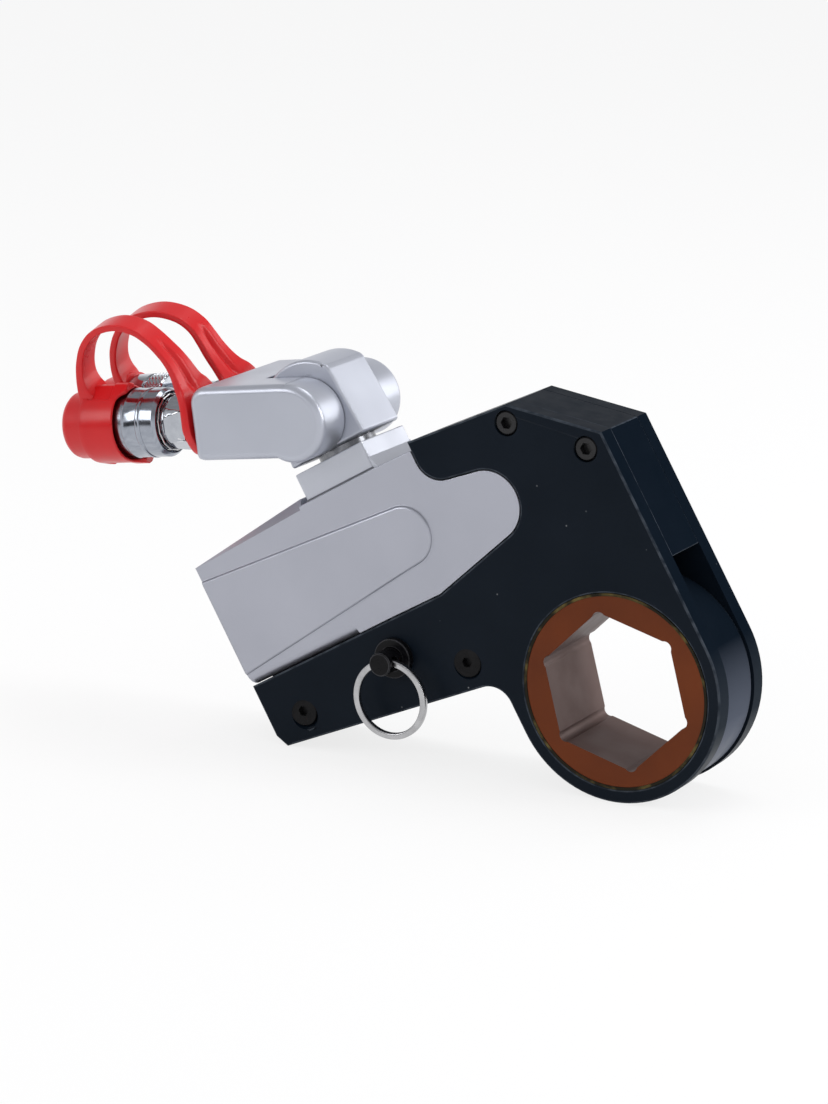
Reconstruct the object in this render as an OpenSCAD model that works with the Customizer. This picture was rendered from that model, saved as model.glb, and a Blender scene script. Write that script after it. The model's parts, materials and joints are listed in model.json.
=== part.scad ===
// Low-profile hydraulic torque wrench: a ratchet link with a through hexagon, a power head with its
// cylinder, and a turning, tilting swivel with two capped quick couplers.
// The origin is the middle of the hexagon, +Y runs along its axis, away from the pull-ring side, and
// the wrench stands on its nose and its foot. Millimetres.

/* [Stance] */
// Slope of the cylinder axis when the wrench stands on its nose and foot
stand_tilt = 30; // [26:1:34]

/* [Ratchet link] */
// Hexagon across flats
hex_af = 50; // [41:1:52]
// Diameter of the ratchet hub seen in the plates
hub_d = 68.7; // [66:0.1:69]
// Radius of the round nose
nose_r = 40.3; // [39.5:0.1:44]
// Thickness over both plates
link_t = 36; // [34:0.5:40]
// Thickness of one plate
plate_t = 7.4; // [6.5:0.1:8.5]
// Wall of the bush rings
bush_t = 1; // [0.6:0.1:1.2]
// Number of ratchet teeth
tooth_count = 72; // [60:12:96]
// Height of the ratchet teeth
tooth_h = 1.3; // [1:0.1:1.5]
// Height of the right edge, where the slanted shoulder starts, above the cylinder axis
shoulder_h = 5.85; // [3:0.05:9]
// Highest point of the shoulder, along the cylinder axis
crest_u = 11; // [6:0.5:14]
// Highest point of the shoulder, above the cylinder axis
crest_h = 29.45; // [28:0.05:33]
// Top edge at the head, above the cylinder axis
lobe_h = 33.45; // [31:0.05:36]
// End of the tail, from the hexagon
tail_len = 138; // [132:1:146]
// Depth of the head's seat below the cylinder axis
seat_drop = 20.15; // [19:0.05:21]
// Radius of the inside corner between nose and tail
heel_r = 9; // [6:0.5:12]
// Diameter of the shoulder screws' heads
corner_head_d = 8.5; // [7:0.1:9]
// Diameter of the tail screws' flat heads
tail_head_d = 11; // [9:0.2:12]

/* [Drive] */
// Distance from hexagon to drive pin
lever_r = 78; // [77:0.2:79]
// Lean of the lever to either side over the stroke
lever_lean = 12; // [8:0.5:12.5]
// Diameter of the drive pin
drive_pin_d = 12; // [10:0.2:12.4]
// Diameter of the piston
bore_d = 30; // [26:0.5:31]
// Diameter of the piston rod
rod_d = 18; // [14:0.5:19]
// Length of the piston
piston_len = 16; // [14:0.5:18]

/* [Power head] */
// Radius of the rounded lower edges of the cylinder's rear half
barrel_r = 4.5; // [3:0.5:9]
// Width of the tapered chamfer along the cylinder's upper edges, at its wide end
top_chamfer = 3.8; // [2:0.1:5]
// Height of the cylinder's rear end above its axis
barrel_top_h = 28; // [26:0.05:30]
// Height of the pad that carries the swivel, above the cylinder axis
pad_h = 30.7; // [29.5:0.05:33]
// Length of the square front half, up to the lever slot
front_len = 41; // [38:0.5:44]
// Rise of the side bulges
bulge_t = 1; // [0.5:0.1:2]
// Radius of the nose tip in the plates
tip_r = 13; // [12:0.2:14]
// Radius of the plates' rounded lobe over the tip
lobe_r = 10; // [7:0.5:12]

/* [Swivel] */
// Distance of the swivel axis behind the hexagon, along the cylinder axis
swivel_back = 66.5; // [65:0.5:69]
// Flange length along the cylinder
flange_len = 32; // [30:0.5:36]
// Flange width
flange_w = 31; // [30:0.5:34]
// Flange thickness
flange_t = 10.05; // [9:0.05:12]
// Diameter of the swivel post
post_d = 22.4; // [20:0.2:23]
// Gap between flange and knuckle, where the post shows
swivel_gap = 2.5; // [1.5:0.1:4]
// Knuckle width
knuckle_w = 26; // [24:0.5:30]
// Knuckle foot length
knuckle_len = 35; // [34:0.5:36]
// Radius of the knuckle's round top
knuckle_r = 20.3; // [19:0.1:21]
// Height of the tilt axis above the knuckle's foot
tilt_h = 14; // [13.5:0.1:16]
// Diameter of the tilt shaft
tilt_d = 12; // [10:0.2:12.4]
// Rise of the couplers above the cylinder axis, as the wrench stands
rest_tilt = 22; // [10:1:30]

/* [Couplers] */
// Distance of the yoke's end face from the tilt axis
yoke_len = 41; // [39:0.5:44]
// Yoke width
yoke_w = 58.6; // [56:0.2:64]
// Radius of the yoke's round end
yoke_r = 14.3; // [13.5:0.1:16]
// Distance between the coupler axes
coupler_pitch = 30; // [29.8:0.1:30.8]
// Coupler hexagon across flats
coupler_af = 19; // [17:0.2:20]
// Outer diameter of the pull-back sleeve
sleeve_d = 26; // [25.6:0.1:27]
// Outer diameter of the screw collar
collar_d = 25.2; // [24:0.1:26]
// Outer diameter of the caps
cap_d = 29.6; // [29:0.1:29.7]
// Width of the cap straps
strap_w = 9; // [7:0.2:11]
// Thickness of the cap straps
strap_t = 2.4; // [1.8:0.1:3]
// Radius of the strap's arch
strap_r = 25; // [24:0.5:27]

/* [Lock pin] */
// Place of the lock pin along the cylinder axis, behind the hexagon
lock_back = 75.5; // [72:0.5:80]
// Depth of the lock pin's axis below the head's seat
lock_drop = 13; // [11:0.5:14]
// Diameter of the lock pin
lock_d = 8.6; // [7:0.1:9]
// Length of the lock pin in front of the plate
lock_out = 12; // [11:0.5:16]
// Mean diameter of the pull ring
ring_d = 27.2; // [26:0.2:34]
// Diameter of the pull ring's wire
ring_wire = 2.4; // [2:0.1:2.6]
// Slant of the hanging pull ring
ring_slant = 9.6; // [0:0.2:30]

/* [Fits] */
// Radial clearance of turning and sliding fits
run_c = 0.06; // [0.03:0.01:0.09]
// Clearance of parts that pass each other
gap_c = 0.3; // [0.25:0.05:0.4]
// Clearance between head and plates
seat_c = 0.25; // [0.15:0.05:0.3]

/* [Hidden] */
$fn = 96;
eps = 0.01;
far_out = 400;
coil_sides = 8;
coil_steps = 14;

// Heights across the cylinder axis
rod_v = lever_r * (1 + cos(lever_lean)) / 2;
shoulder_v = rod_v + shoulder_h;
crest_v = rod_v + crest_h;
lobe_v = rod_v + lobe_h;
seat_v = rod_v - seat_drop;
barrel_top_v = rod_v + barrel_top_h;
pad_v = rod_v + pad_h;
lock_v = seat_v - lock_drop;

// Link
gap_w = link_t - 2 * plate_t;
half_t = link_t / 2;
half_gap = gap_w / 2;
hub_r = hub_d / 2;
bush_r = hub_r + run_c + bush_t;
root_r = hub_r + 0.35;
tooth_r = root_r + tooth_h;
tooth_lean = 0.3;
drive_half = half_gap - gap_c;
hub_proud = 0.2;
hex_turn = 14.4;
hex_r = hex_af / 2 / cos(30);
hex_relief_r = 2.6;
tail_u = -tail_len;
foot_u = tail_u + 2.5;
foot_v = (-foot_u * sin(stand_tilt) - nose_r) / cos(stand_tilt);
foot_chamfer = 5;
heel_u = -53.7;
heel_v = 21.6;
heel_slope = (heel_v - foot_v) / (heel_u - foot_u);
heel_norm = sqrt(1 + heel_slope * heel_slope);
function tail_floor(u) = foot_v + (u - foot_u) * heel_slope;
heel_c = [-nose_r - heel_r, tail_floor(-nose_r - heel_r) - heel_r * heel_norm];
heel_touch = heel_c + heel_r / heel_norm * [-heel_slope, 1];
corner_screw_at = [[8, crest_v - 6], [nose_r - 8.3, shoulder_v - 2.8]];
heel_screw_u = heel_u + 4.3;
tail_screw_u = tail_u + 15.7;
tail_screw_at = [[heel_screw_u, tail_floor(heel_screw_u) + 9.5], [tail_screw_u, tail_floor(tail_screw_u) + 9.2]];
corner_head_r = corner_head_d / 2;
corner_head_h = 4.6;
tail_head_r = tail_head_d / 2;
screw_sunk = 0.4;
screw_r = 2.6;
screw_len = 14;
spacer_leg_end = 34;
spacer_wall = 7.3;
spacer_t = 11.4;
spacer_top_v = crest_v - spacer_t;
boss_v = shoulder_v - 1;
boss_h = 12;
boss_slope = 4;

// Drive
rest_pin_u = -lever_r * sin(lever_lean);
drive_pin_r = drive_pin_d / 2;
ring_in_r = tooth_r + gap_c;
ring_out_r = nose_r - 1;
arm_half = 13;
arm_top = 60;
tongue_half = 4;
tongue_r = drive_pin_r + 3;
fork_r = drive_pin_r + 4.5;
fork_back = 24;
rod_clear = 3.8;
gland_len = 18;
slot_play = lever_r * (1 - cos(lever_lean)) / 2 + gap_c;
pawl_half = 8.2;
pawl_top = 50;
pawl_window_top = 56;
pawl_spring_at = 4.2;
bore_r = bore_d / 2;
rod_r = rod_d / 2;
cap_r = bore_r + 2;
cap_face = tail_u + 14;
piston_back = cap_face + 2;
piston_front = piston_back + piston_len;
gland_r = rod_r + 4;
rod_front = rest_pin_u - fork_back;
head_front = rod_front - rod_clear;
gland_back = head_front - gland_len;
stud_r = 5;
oil_r = 1.4;

// Power head
front_back = head_front - front_len;
tip_c = [-13.5, rod_v + 0.55];
head_foot_u = head_front - 3;
lobe_u = -32;
lobe_lift = 9.7;
lobe_corner_v = tip_c[1] + tip_r / cos(lobe_lift) + (tip_c[0] - lobe_u) * tan(lobe_lift);
head_shoulder_v = pad_v - 0.55;
lip_v = pad_v + 2.4;
bulge_low_v = seat_v + 4.6;
bulge_high_v = barrel_top_v - 5.6;
bulge_tip_r = 11;
bulge_tip_c = [head_front - 5.5, rod_v + 4.15];
keel_low_v = lock_v - 6;
keel_u = [tail_u + 30, gland_back];
keel_c = 3;
runout_r = barrel_r + 1.5;

// Swivel
swivel_u = -swivel_back;
post_r = post_d / 2;
post_depth = 11.85;
post_low_v = pad_v - post_depth;
gasket_t = 0.6;
flange_v = pad_v + gasket_t;
flange_top_v = flange_v + flange_t;
knuckle_v = flange_top_v + swivel_gap;
tilt_v = knuckle_v + tilt_h;
tilt_r = tilt_d / 2;
post_stud_r = 7;
post_stud_h = tilt_h - tilt_r - 1.5;
retainer_t = 1.6;
retainer_r = post_r + 1.6;
neck_screw_at = [flange_len / 2 - 3.4, flange_w / 2 - 3.4];
neck_head_r = 2.7;

// Yoke and couplers
yoke_half = yoke_w / 2;
yoke_slot = knuckle_w / 2 + gap_c;
yoke_top = yoke_r + 0.2;
yoke_low = yoke_r - 1.8;
yoke_slot_r = knuckle_r + 1.7;
yoke_corner_r = 6.5;
tilt_blind = yoke_slot + 11.7;
tilt_plug_r = tilt_r + 2;
tilt_plug_t = 7;
coupler_y = coupler_pitch / 2;
port_r = 6.4;
port_depth = 11;
neck_r = 7;
nut_p = yoke_len + 6.5;
body_p = nut_p + 8.5;
body_r = coupler_af / 2;
nut_corner_r = body_r / cos(30);
sleeve_p = body_p + 2;
sleeve_len = 20;
sleeve_r = sleeve_d / 2;
sleeve_step = 6;
mouth_p = body_p + 34;
mouth_r = 6.1;
mouth_depth = 22;
collar_p = body_p + 18;
collar_len = 8.5;
collar_r = collar_d / 2;
shank_r = 8;
band_p = collar_p + collar_len + 0.3;
band_r = 10.4;
band_len = 9.5;
male_p = band_p + band_len + 3;
male_r = 7;
poppet_r = 3.6;
near_poppet_p = mouth_p - mouth_depth - 5;
far_poppet_p = male_p - 7.6;
poppet_spring_h = 6.6;
cap_rim_p = sleeve_p + sleeve_len - 7;
cap_pad_p = mouth_p + 5;
cap_end_p = cap_pad_p + 7;
cap_shift_far = male_p - mouth_p;
far_rim_p = band_p + band_len - 2;
cap_half = cap_d / 2;
cap_nose_r = 12.5;
cap_grip_r = cap_half / cos(22.5) - 0.6;
cap_flat = cap_grip_r * cos(22.5);
strap_ring_r = 13.3;
strap_ring_p = [yoke_len + 2, nut_p - 0.3];
strap_p = (cap_pad_p + strap_ring_p[0]) / 2 + 0.2;

// Lock pin
lock_u = -lock_back;
lock_r = lock_d / 2;
lock_collar_r = lock_r + 3;
lock_collar_h = 3;
lock_hole_y = -half_t - lock_out + 4;
lock_shoulder_r = lock_r + 1.6;
lock_shoulder_t = 1.2;
lock_chamfer = 0.4;
shoulder_z = half_gap + 0.2;
lock_reach = 5.4;
ring_wire_r = ring_wire / 2;
ring_hole_r = ring_wire_r + 1;

steel = "lightgray";
satin = "silver";
black = "#20252c";
copper = "#7a4a38";
bronze = "#8a7a45";
seal = "#2a2a2a";
red = "#c82222";

// Frames: the tool's own axes (u along the cylinder, v across it), the lever arm, the swivel's couplers
module stand() { rotate([0, -stand_tilt, 0]) children(); }
module arm_frame() { stand() rotate([0, -lever_lean, 0]) children(); }
module yoke_frame() { stand() translate([swivel_u, 0, tilt_v]) rotate([0, rest_tilt, 0]) children(); }
// Along a coupler, from the tilt axis outwards; side is -1 for the near one and 1 for the far one
module coupler_frame(side) {
    yoke_frame() translate([0, side * coupler_y, 0]) rotate([0, -90, 0]) children();
}
module lock_frame() { stand() translate([lock_u, 0, lock_v]) rotate([90, 0, 0]) children(); }

// A flat outline drawn in u and v, made thick from y0 to y1
module slab(y0, y1) { translate([0, y1, 0]) rotate([90, 0, 0]) linear_extrude(y1 - y0) children(); }
module rod_along_y(r, y0, y1) { translate([0, y0, 0]) rotate([-90, 0, 0]) cylinder(r = r, h = y1 - y0); }
module rod_along_u(r, u0, u1) { translate([u0, 0, rod_v]) rotate([0, 90, 0]) cylinder(r = r, h = u1 - u0); }
module tube(r_in, r_out, h) {
    difference() {
        cylinder(r = r_out, h = h);
        translate([0, 0, -eps]) cylinder(r = r_in, h = h + 2 * eps);
    }
}
module tube_along_u(r_in, r_out, u0, u1) {
    translate([u0, 0, rod_v]) rotate([0, 90, 0]) tube(r_in, r_out, u1 - u0);
}

// A wire coil along Z
function coil_ring(mean_r, wire_r, a, z) = [for (s = [0:coil_sides - 1])
    let (b = 360 * s / coil_sides, r = mean_r + wire_r * cos(b)) [r * cos(a), r * sin(a), z + wire_r * sin(b)]];
module coil(mean_r, wire_r, h, turns) {
    rings = turns * coil_steps;
    points = [for (i = [0:rings])
        each coil_ring(mean_r, wire_r, 360 * i / coil_steps, wire_r + (h - 2 * wire_r) * i / rings)];
    sides = [for (i = [0:rings - 1], s = [0:coil_sides - 1]) let (t = (s + 1) % coil_sides)
        [i * coil_sides + s, i * coil_sides + t, (i + 1) * coil_sides + t, (i + 1) * coil_sides + s]];
    first = [for (s = [coil_sides - 1:-1:0]) s];
    last = [for (s = [0:coil_sides - 1]) rings * coil_sides + s];
    polyhedron(points, concat(sides, [first, last]));
}

// Outline of the power head in the plates, smaller by g
function low_touch(from, r) = let (d = tip_c - from, a = atan2(d[1], d[0]) - asin(r / norm(d)))
    tip_c + r * [sin(a), -cos(a)];
module head_outline(g) {
    r = tip_r - g;
    foot = [head_foot_u, seat_v + g];
    side_u = lobe_u - g;
    turn_r = lobe_r + g;
    corner = [side_u, lobe_corner_v - g];
    high = tip_c + r * [sin(lobe_lift), cos(lobe_lift)];
    turn_c = corner + turn_r * [1, (1 + sin(lobe_lift)) / cos(lobe_lift)] - turn_r * [0, 2 * tan(lobe_lift)];
    turn_touch = turn_c - turn_r * [sin(lobe_lift), cos(lobe_lift)];
    polygon([[-far_out, foot[1]], foot, low_touch(foot, r), tip_c, high, corner, [side_u, head_shoulder_v],
        [swivel_u + flange_len / 2 + 6, pad_v - 0.2], [swivel_u + flange_len / 2, pad_v],
        [front_back, pad_v], [front_back, lip_v], [-far_out, lip_v]]);
    translate(tip_c) circle(r);
    difference() {
        polygon([corner, turn_touch, [side_u, turn_c[1]]]);
        translate(turn_c) circle(turn_r);
    }
}

// Outline of the link before the head's seat is cut
module link_blank() {
    circle(nose_r);
    polygon([[-nose_r, 0], [nose_r, 0], [nose_r, shoulder_v], [crest_u, crest_v], [lobe_u, lobe_v],
        [lobe_u, tip_c[1]], [head_foot_u, seat_v], [tail_u, seat_v], [tail_u, foot_v + foot_chamfer],
        [foot_u, foot_v], [-nose_r, tail_floor(-nose_r)]]);
    difference() {
        polygon([[-nose_r, heel_c[1]], [-nose_r, tail_floor(-nose_r)], heel_touch]);
        translate(heel_c) circle(heel_r);
    }
}
module link_outline() {
    difference() {
        link_blank();
        head_outline(0);
    }
}

// One side plate, drawn on the near side
module side_plate() {
    difference() {
        slab(-half_t, -half_gap) difference() {
            link_outline();
            circle(bush_r);
        }
        for (at = corner_screw_at) translate([at[0], -half_t, at[1]]) rotate([-90, 0, 0]) {
            translate([0, 0, -eps]) cylinder(r = corner_head_r + 0.4, h = corner_head_h + screw_sunk + eps);
            cylinder(r = screw_r + run_c, h = plate_t + eps);
        }
        for (at = tail_screw_at) translate([at[0], -half_t, at[1]]) rotate([-90, 0, 0]) {
            translate([0, 0, -eps]) cylinder(r = tail_head_r + run_c, h = screw_sunk + eps);
            translate([0, 0, screw_sunk])
                cylinder(r1 = tail_head_r + run_c, r2 = screw_r + run_c, h = tail_head_r - screw_r);
            cylinder(r = screw_r + run_c, h = plate_t + eps);
        }
    }
}
module front_plate() {
    color(black) difference() {
        stand() side_plate();
        lock_frame() translate([0, 0, half_gap - eps])
            cylinder(r = lock_shoulder_r + 0.2, h = plate_t + 2 * eps);
    }
}
module rear_plate() { color(black) stand() mirror([0, 1, 0]) side_plate(); }

// Distance pieces between the plates, drilled for the screws
module screw_holes(list) {
    for (at = list) translate([at[0], 0, at[1]]) rod_along_y(screw_r + run_c, -link_t, link_t);
}
module top_spacer() {
    inner_u = nose_r - spacer_wall;
    boss_u = corner_screw_at[1][0] - 4.6;
    color(black) stand() difference() {
        slab(-half_gap, half_gap) polygon([[lobe_u + seat_c, spacer_top_v], [crest_u + 1, spacer_top_v],
            [boss_u, boss_v], [boss_u, boss_v - boss_h], [inner_u, boss_v - boss_h - boss_slope],
            [inner_u, spacer_leg_end], [nose_r, spacer_leg_end], [nose_r, shoulder_v], [crest_u, crest_v],
            [lobe_u + seat_c, lobe_v]]);
        screw_holes(corner_screw_at);
    }
}
module tail_block(u0, u1) {
    difference() {
        slab(-half_gap, half_gap) intersection() {
            link_blank();
            translate([u0, 0]) square([u1 - u0, seat_v]);
        }
        screw_holes(tail_screw_at);
    }
}
module heel_spacer() { color(black) stand() tail_block(keel_u[1] + keel_c, head_front); }
module tail_spacer() {
    color(black) stand() {
        tail_block(tail_u, keel_u[0] - keel_c);
        slab(-half_gap, half_gap) translate([tail_u + 5, seat_v - 2])
            square([keel_u[0] - keel_c - tail_u - 5, 2 + seat_c - 0.05]);
    }
}

module bush() {
    slab(-half_t, -half_gap) difference() {
        circle(bush_r);
        circle(hub_r + run_c);
    }
}
module front_bush() { color(bronze) stand() bush(); }
module rear_bush() { color(bronze) stand() mirror([0, 1, 0]) bush(); }

// Socket-head screws at the shoulder and flat-head screws in the tail, from both sides
module corner_screws() {
    color(black) stand() for (side = [0, 1]) mirror([0, side, 0]) for (at = corner_screw_at)
        translate([at[0], -half_t + screw_sunk, at[1]]) rotate([-90, 0, 0]) difference() {
            union() {
                cylinder(r = corner_head_r, h = corner_head_h);
                cylinder(r = screw_r, h = screw_len);
            }
            translate([0, 0, -eps]) cylinder(r = 2.3, h = 2.6, $fn = 6);
        }
}
module tail_screws() {
    color(black) stand() for (side = [0, 1]) mirror([0, side, 0]) for (at = tail_screw_at)
        translate([at[0], -half_t + screw_sunk, at[1]]) rotate([-90, 0, 0]) difference() {
            union() {
                cylinder(r1 = tail_head_r, r2 = screw_r, h = tail_head_r - screw_r);
                cylinder(r = screw_r, h = screw_len);
            }
            translate([0, 0, -eps]) cylinder(r = 2, h = 2, $fn = 6);
        }
}

// Ratchet: a hub with the through hexagon and a ring of saw teeth
function tooth_points(extra) = [for (i = [0:tooth_count - 1], part = [0, 1])
    let (a = 360 / tooth_count * (i + part * tooth_lean), r = (part == 0 ? root_r : tooth_r) + extra)
    r * [sin(a), cos(a)]];
module ratchet_wheel() {
    color(copper) stand() difference() {
        union() {
            rod_along_y(hub_r, hub_proud - half_t, half_t - hub_proud);
            rotate([0, -lever_lean, 0]) slab(-drive_half, drive_half) polygon(tooth_points(0));
        }
        rotate([0, -hex_turn, 0]) slab(-link_t, link_t) {
            circle(hex_r, $fn = 6);
            for (a = [0:60:300]) rotate(a) translate([hex_r - hex_relief_r * 0.98, 0]) circle(hex_relief_r);
        }
    }
}

// Lever: a ring round the ratchet, an arm with the pawl's window and a tongue for the drive pin
module drive_lever() {
    color(steel) arm_frame() difference() {
        union() {
            rod_along_y(ring_out_r, -drive_half, drive_half);
            slab(-drive_half, drive_half) polygon([[-arm_half - 6, 30], [arm_half + 6, 30], [arm_half, 44],
                [arm_half, arm_top - 4], [arm_half - 4, arm_top], [4 - arm_half, arm_top],
                [-arm_half, arm_top - 4], [-arm_half, 44]]);
            slab(-tongue_half, tongue_half) {
                translate([-tongue_r, arm_top - 1]) square([2 * tongue_r, lever_r - arm_top + 1]);
                translate([0, lever_r]) circle(tongue_r);
            }
        }
        rod_along_y(ring_in_r, -link_t, link_t);
        slab(-link_t, link_t) translate([-pawl_half - gap_c, 0])
            square([2 * (pawl_half + gap_c), pawl_window_top]);
        translate([0, 0, lever_r]) rod_along_y(drive_pin_r, -link_t, link_t);
    }
}
module drive_pin() {
    color(steel) arm_frame() translate([0, 0, lever_r]) rod_along_y(drive_pin_r, -drive_half, drive_half);
}
module drive_pawl() {
    color(steel) arm_frame() difference() {
        slab(-drive_half, drive_half) difference() {
            translate([-pawl_half, 0]) square([2 * pawl_half, pawl_top]);
            polygon(tooth_points(gap_c));
        }
        for (side = [-1, 1]) translate([side * pawl_spring_at, 0, pawl_top - 5]) cylinder(r = 3, h = 6);
    }
}
module pawl_springs() {
    color(steel) arm_frame() for (side = [-1, 1]) translate([side * pawl_spring_at, 0, pawl_top - 5])
        coil(2.2, 0.45, pawl_window_top - pawl_top + 5, 6);
}

// Power head: square front half with two ears in the plates, rounded rear half, side bulges and keel
module edge_round(len) {
    rotate([90, 0, 90]) linear_extrude(len) translate([-barrel_r, -barrel_r]) difference() {
        square(barrel_r + 1);
        circle(barrel_r);
    }
}
module edge_chamfer() {
    rise = (lip_v - barrel_top_v) / (front_back - tail_u);
    start_u = tail_u - 4;
    polyhedron([[start_u, half_t, barrel_top_v - 4 * rise], [front_back, half_t, lip_v - top_chamfer],
        [front_back, half_t - top_chamfer, lip_v], [front_back, half_t + 5, lip_v + 5]],
        [[0, 1, 2], [0, 3, 1], [0, 2, 3], [1, 3, 2]]);
}
module head_block() {
    len = front_back - tail_u;
    difference() {
        slab(-half_t, half_t) intersection() {
            head_outline(seat_c);
            polygon([[tail_u, 0], [head_front, 0], [head_front, far_out], [front_back, far_out],
                [front_back, lip_v], [tail_u, barrel_top_v]]);
        }
        for (side = [0, 1]) mirror([0, side, 0]) {
            intersection() {
                translate([tail_u - 1, half_t, seat_v + seat_c]) mirror([0, 0, 1]) edge_round(len + 1);
                slab(half_t - barrel_r - 1, half_t + 2) {
                    translate([tail_u - 2, seat_v - 2]) square([len + 2 - runout_r, barrel_r + 4]);
                    translate([front_back - runout_r, seat_v + seat_c]) circle(runout_r);
                }
            }
            edge_chamfer();
        }
    }
}
module side_bulge() {
    slab(-half_t - bulge_t, -half_t + 1) {
        polygon([[tail_u, bulge_low_v], bulge_tip_c - [0, bulge_tip_r], bulge_tip_c + [0, bulge_tip_r],
            [tail_u, bulge_high_v]]);
        translate(bulge_tip_c) circle(bulge_tip_r);
    }
}
module cylinder_body() {
    color(satin) stand() difference() {
        union() {
            head_block();
            for (side = [0, 1]) mirror([0, side, 0]) {
                slab(-half_t, -half_gap) intersection() {
                    head_outline(seat_c);
                    translate([head_front - 1, 0]) square([far_out, far_out]);
                }
                side_bulge();
            }
            slab(-half_gap - 1, half_gap + 1) intersection() {
                head_outline(seat_c);
                translate([head_front - 1, spacer_top_v])
                    square([lobe_u - seat_c - head_front + 1, far_out]);
            }
            translate([keel_u[0], -drive_half, keel_low_v])
                cube([keel_u[1] - keel_u[0], 2 * drive_half, seat_v - keel_low_v + 2]);
        }
        rod_along_u(cap_r, tail_u - eps, cap_face);
        rod_along_u(bore_r, cap_face - eps, gland_back);
        rod_along_u(gland_r, gland_back - eps, head_front + eps);
        translate([swivel_u, 0, post_low_v]) cylinder(r = post_r + run_c, h = far_out);
        translate([swivel_u + 5, 0, rod_v]) cylinder(r = oil_r, h = post_low_v - rod_v + 1);
        translate([piston_back - 1, 0, rod_v]) cylinder(r = 0.9, h = post_low_v + 4 - rod_v);
        translate([piston_back - 1, 0, post_low_v + 3]) rotate([0, 90, 0])
            cylinder(r = oil_r, h = swivel_u - piston_back + 1);
        for (x = [-1, 1], y = [-1, 1])
            translate([swivel_u + x * neck_screw_at[0], y * neck_screw_at[1], pad_v - 8.2])
                cylinder(r = 1.7, h = far_out);
        translate([lock_u, 0, lock_v])
            rod_along_y(lock_r + run_c, -half_t, lock_reach - half_gap);
    }
}
module end_cap() {
    color(steel) stand() difference() {
        rod_along_u(cap_r - 0.02, tail_u, cap_face);
        for (y = [-9, 9]) translate([tail_u - eps, y, rod_v]) rotate([0, 90, 0]) cylinder(r = 2, h = 5);
        tube_along_u(cap_r - 1.6, cap_r + 1, cap_face - 5, cap_face - 2.6);
    }
}
module end_cap_seal() { color(seal) stand() tube_along_u(cap_r - 1.6, cap_r - 0.02, cap_face - 5, cap_face - 2.6); }
module gland_nut() {
    color(bronze) stand() difference() {
        tube_along_u(rod_r + run_c, gland_r - 0.02, gland_back, head_front);
        tube_along_u(rod_r - 1, rod_r + 2.4, gland_back + 4, gland_back + 8);
        tube_along_u(rod_r - 1, rod_r + 2, head_front - 5, head_front - 2.5);
    }
}
module rod_seal() { color(seal) stand() tube_along_u(rod_r + run_c, rod_r + 2.4, gland_back + 4, gland_back + 8); }
module rod_wiper() { color(seal) stand() tube_along_u(rod_r + run_c, rod_r + 2, head_front - 5, head_front - 2.5); }

// Piston group
module piston() {
    color(steel) stand() difference() {
        rod_along_u(bore_r - run_c, piston_back, piston_front);
        rod_along_u(stud_r, piston_back + 3, piston_front + eps);
        tube_along_u(bore_r - 2.5, bore_r + 1, piston_back + 4, piston_back + 7);
        tube_along_u(bore_r - 1.8, bore_r + 1, piston_front - 6, piston_front - 2);
    }
}
module piston_seal() { color(seal) stand() tube_along_u(bore_r - 2.5, bore_r - run_c, piston_back + 4, piston_back + 7); }
module wear_ring() { color(bronze) stand() tube_along_u(bore_r - 1.8, bore_r - run_c, piston_front - 6, piston_front - 2); }
module piston_rod() {
    color(steel) stand() {
        rod_along_u(stud_r, piston_back + 3, piston_front + eps);
        rod_along_u(rod_r, piston_front, rod_front);
        rod_along_u(stud_r, rod_front - eps, rod_front + 9);
    }
}
module rod_end() {
    color(steel) stand() difference() {
        slab(-drive_half, drive_half) {
            translate([rod_front, rod_v - fork_r]) square([fork_back, 2 * fork_r]);
            translate([rest_pin_u, rod_v]) circle(fork_r);
        }
        slab(-tongue_half - 0.4, tongue_half + 0.4) translate([rest_pin_u - tongue_r - 4, 0])
            square([far_out, far_out]);
        slab(-link_t, link_t) {
            for (side = [-1, 1]) translate([rest_pin_u, rod_v + side * slot_play]) circle(drive_pin_r + gap_c);
            translate([rest_pin_u - drive_pin_r - gap_c, rod_v - slot_play])
                square([2 * (drive_pin_r + gap_c), 2 * slot_play]);
        }
        rod_along_u(stud_r, rod_front - eps, rod_front + 9);
    }
}

// Lock pin with its guide, spring and pull ring; the frame's axis points out of the near plate
module lock_pin() {
    hole_z = -lock_hole_y;
    inner_z = half_gap - lock_reach + gap_c;
    outer_z = half_t + lock_out;
    color(black) lock_frame() difference() {
        rotate_extrude() polygon([[0, inner_z], [lock_r, inner_z], [lock_r, shoulder_z], [lock_shoulder_r, shoulder_z],
            [lock_shoulder_r, shoulder_z + lock_shoulder_t], [lock_r, shoulder_z + lock_shoulder_t],
            [lock_r, outer_z - lock_chamfer], [lock_r - lock_chamfer, outer_z], [0, outer_z]]);
        translate([0, 0, hole_z]) rotate([0, 0, ring_slant - stand_tilt]) rotate([0, 90, 0])
            cylinder(r = ring_hole_r, h = far_out / 10, center = true);
    }
}
module lock_collar() {
    color(black) lock_frame() translate([0, 0, half_t]) difference() {
        cylinder(r = lock_collar_r, h = lock_collar_h);
        translate([0, 0, -eps]) cylinder(r = lock_r + run_c, h = lock_collar_h + 1);
        translate([0, 0, -eps]) cylinder(r = lock_shoulder_r + 0.2, h = lock_collar_h - 1);
    }
}
module lock_spring() {
    low = shoulder_z + lock_shoulder_t;
    color(steel) lock_frame() translate([0, 0, low])
        coil(lock_r + 0.85, 0.4, half_t + lock_collar_h - 1 - low, 3);
}
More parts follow.
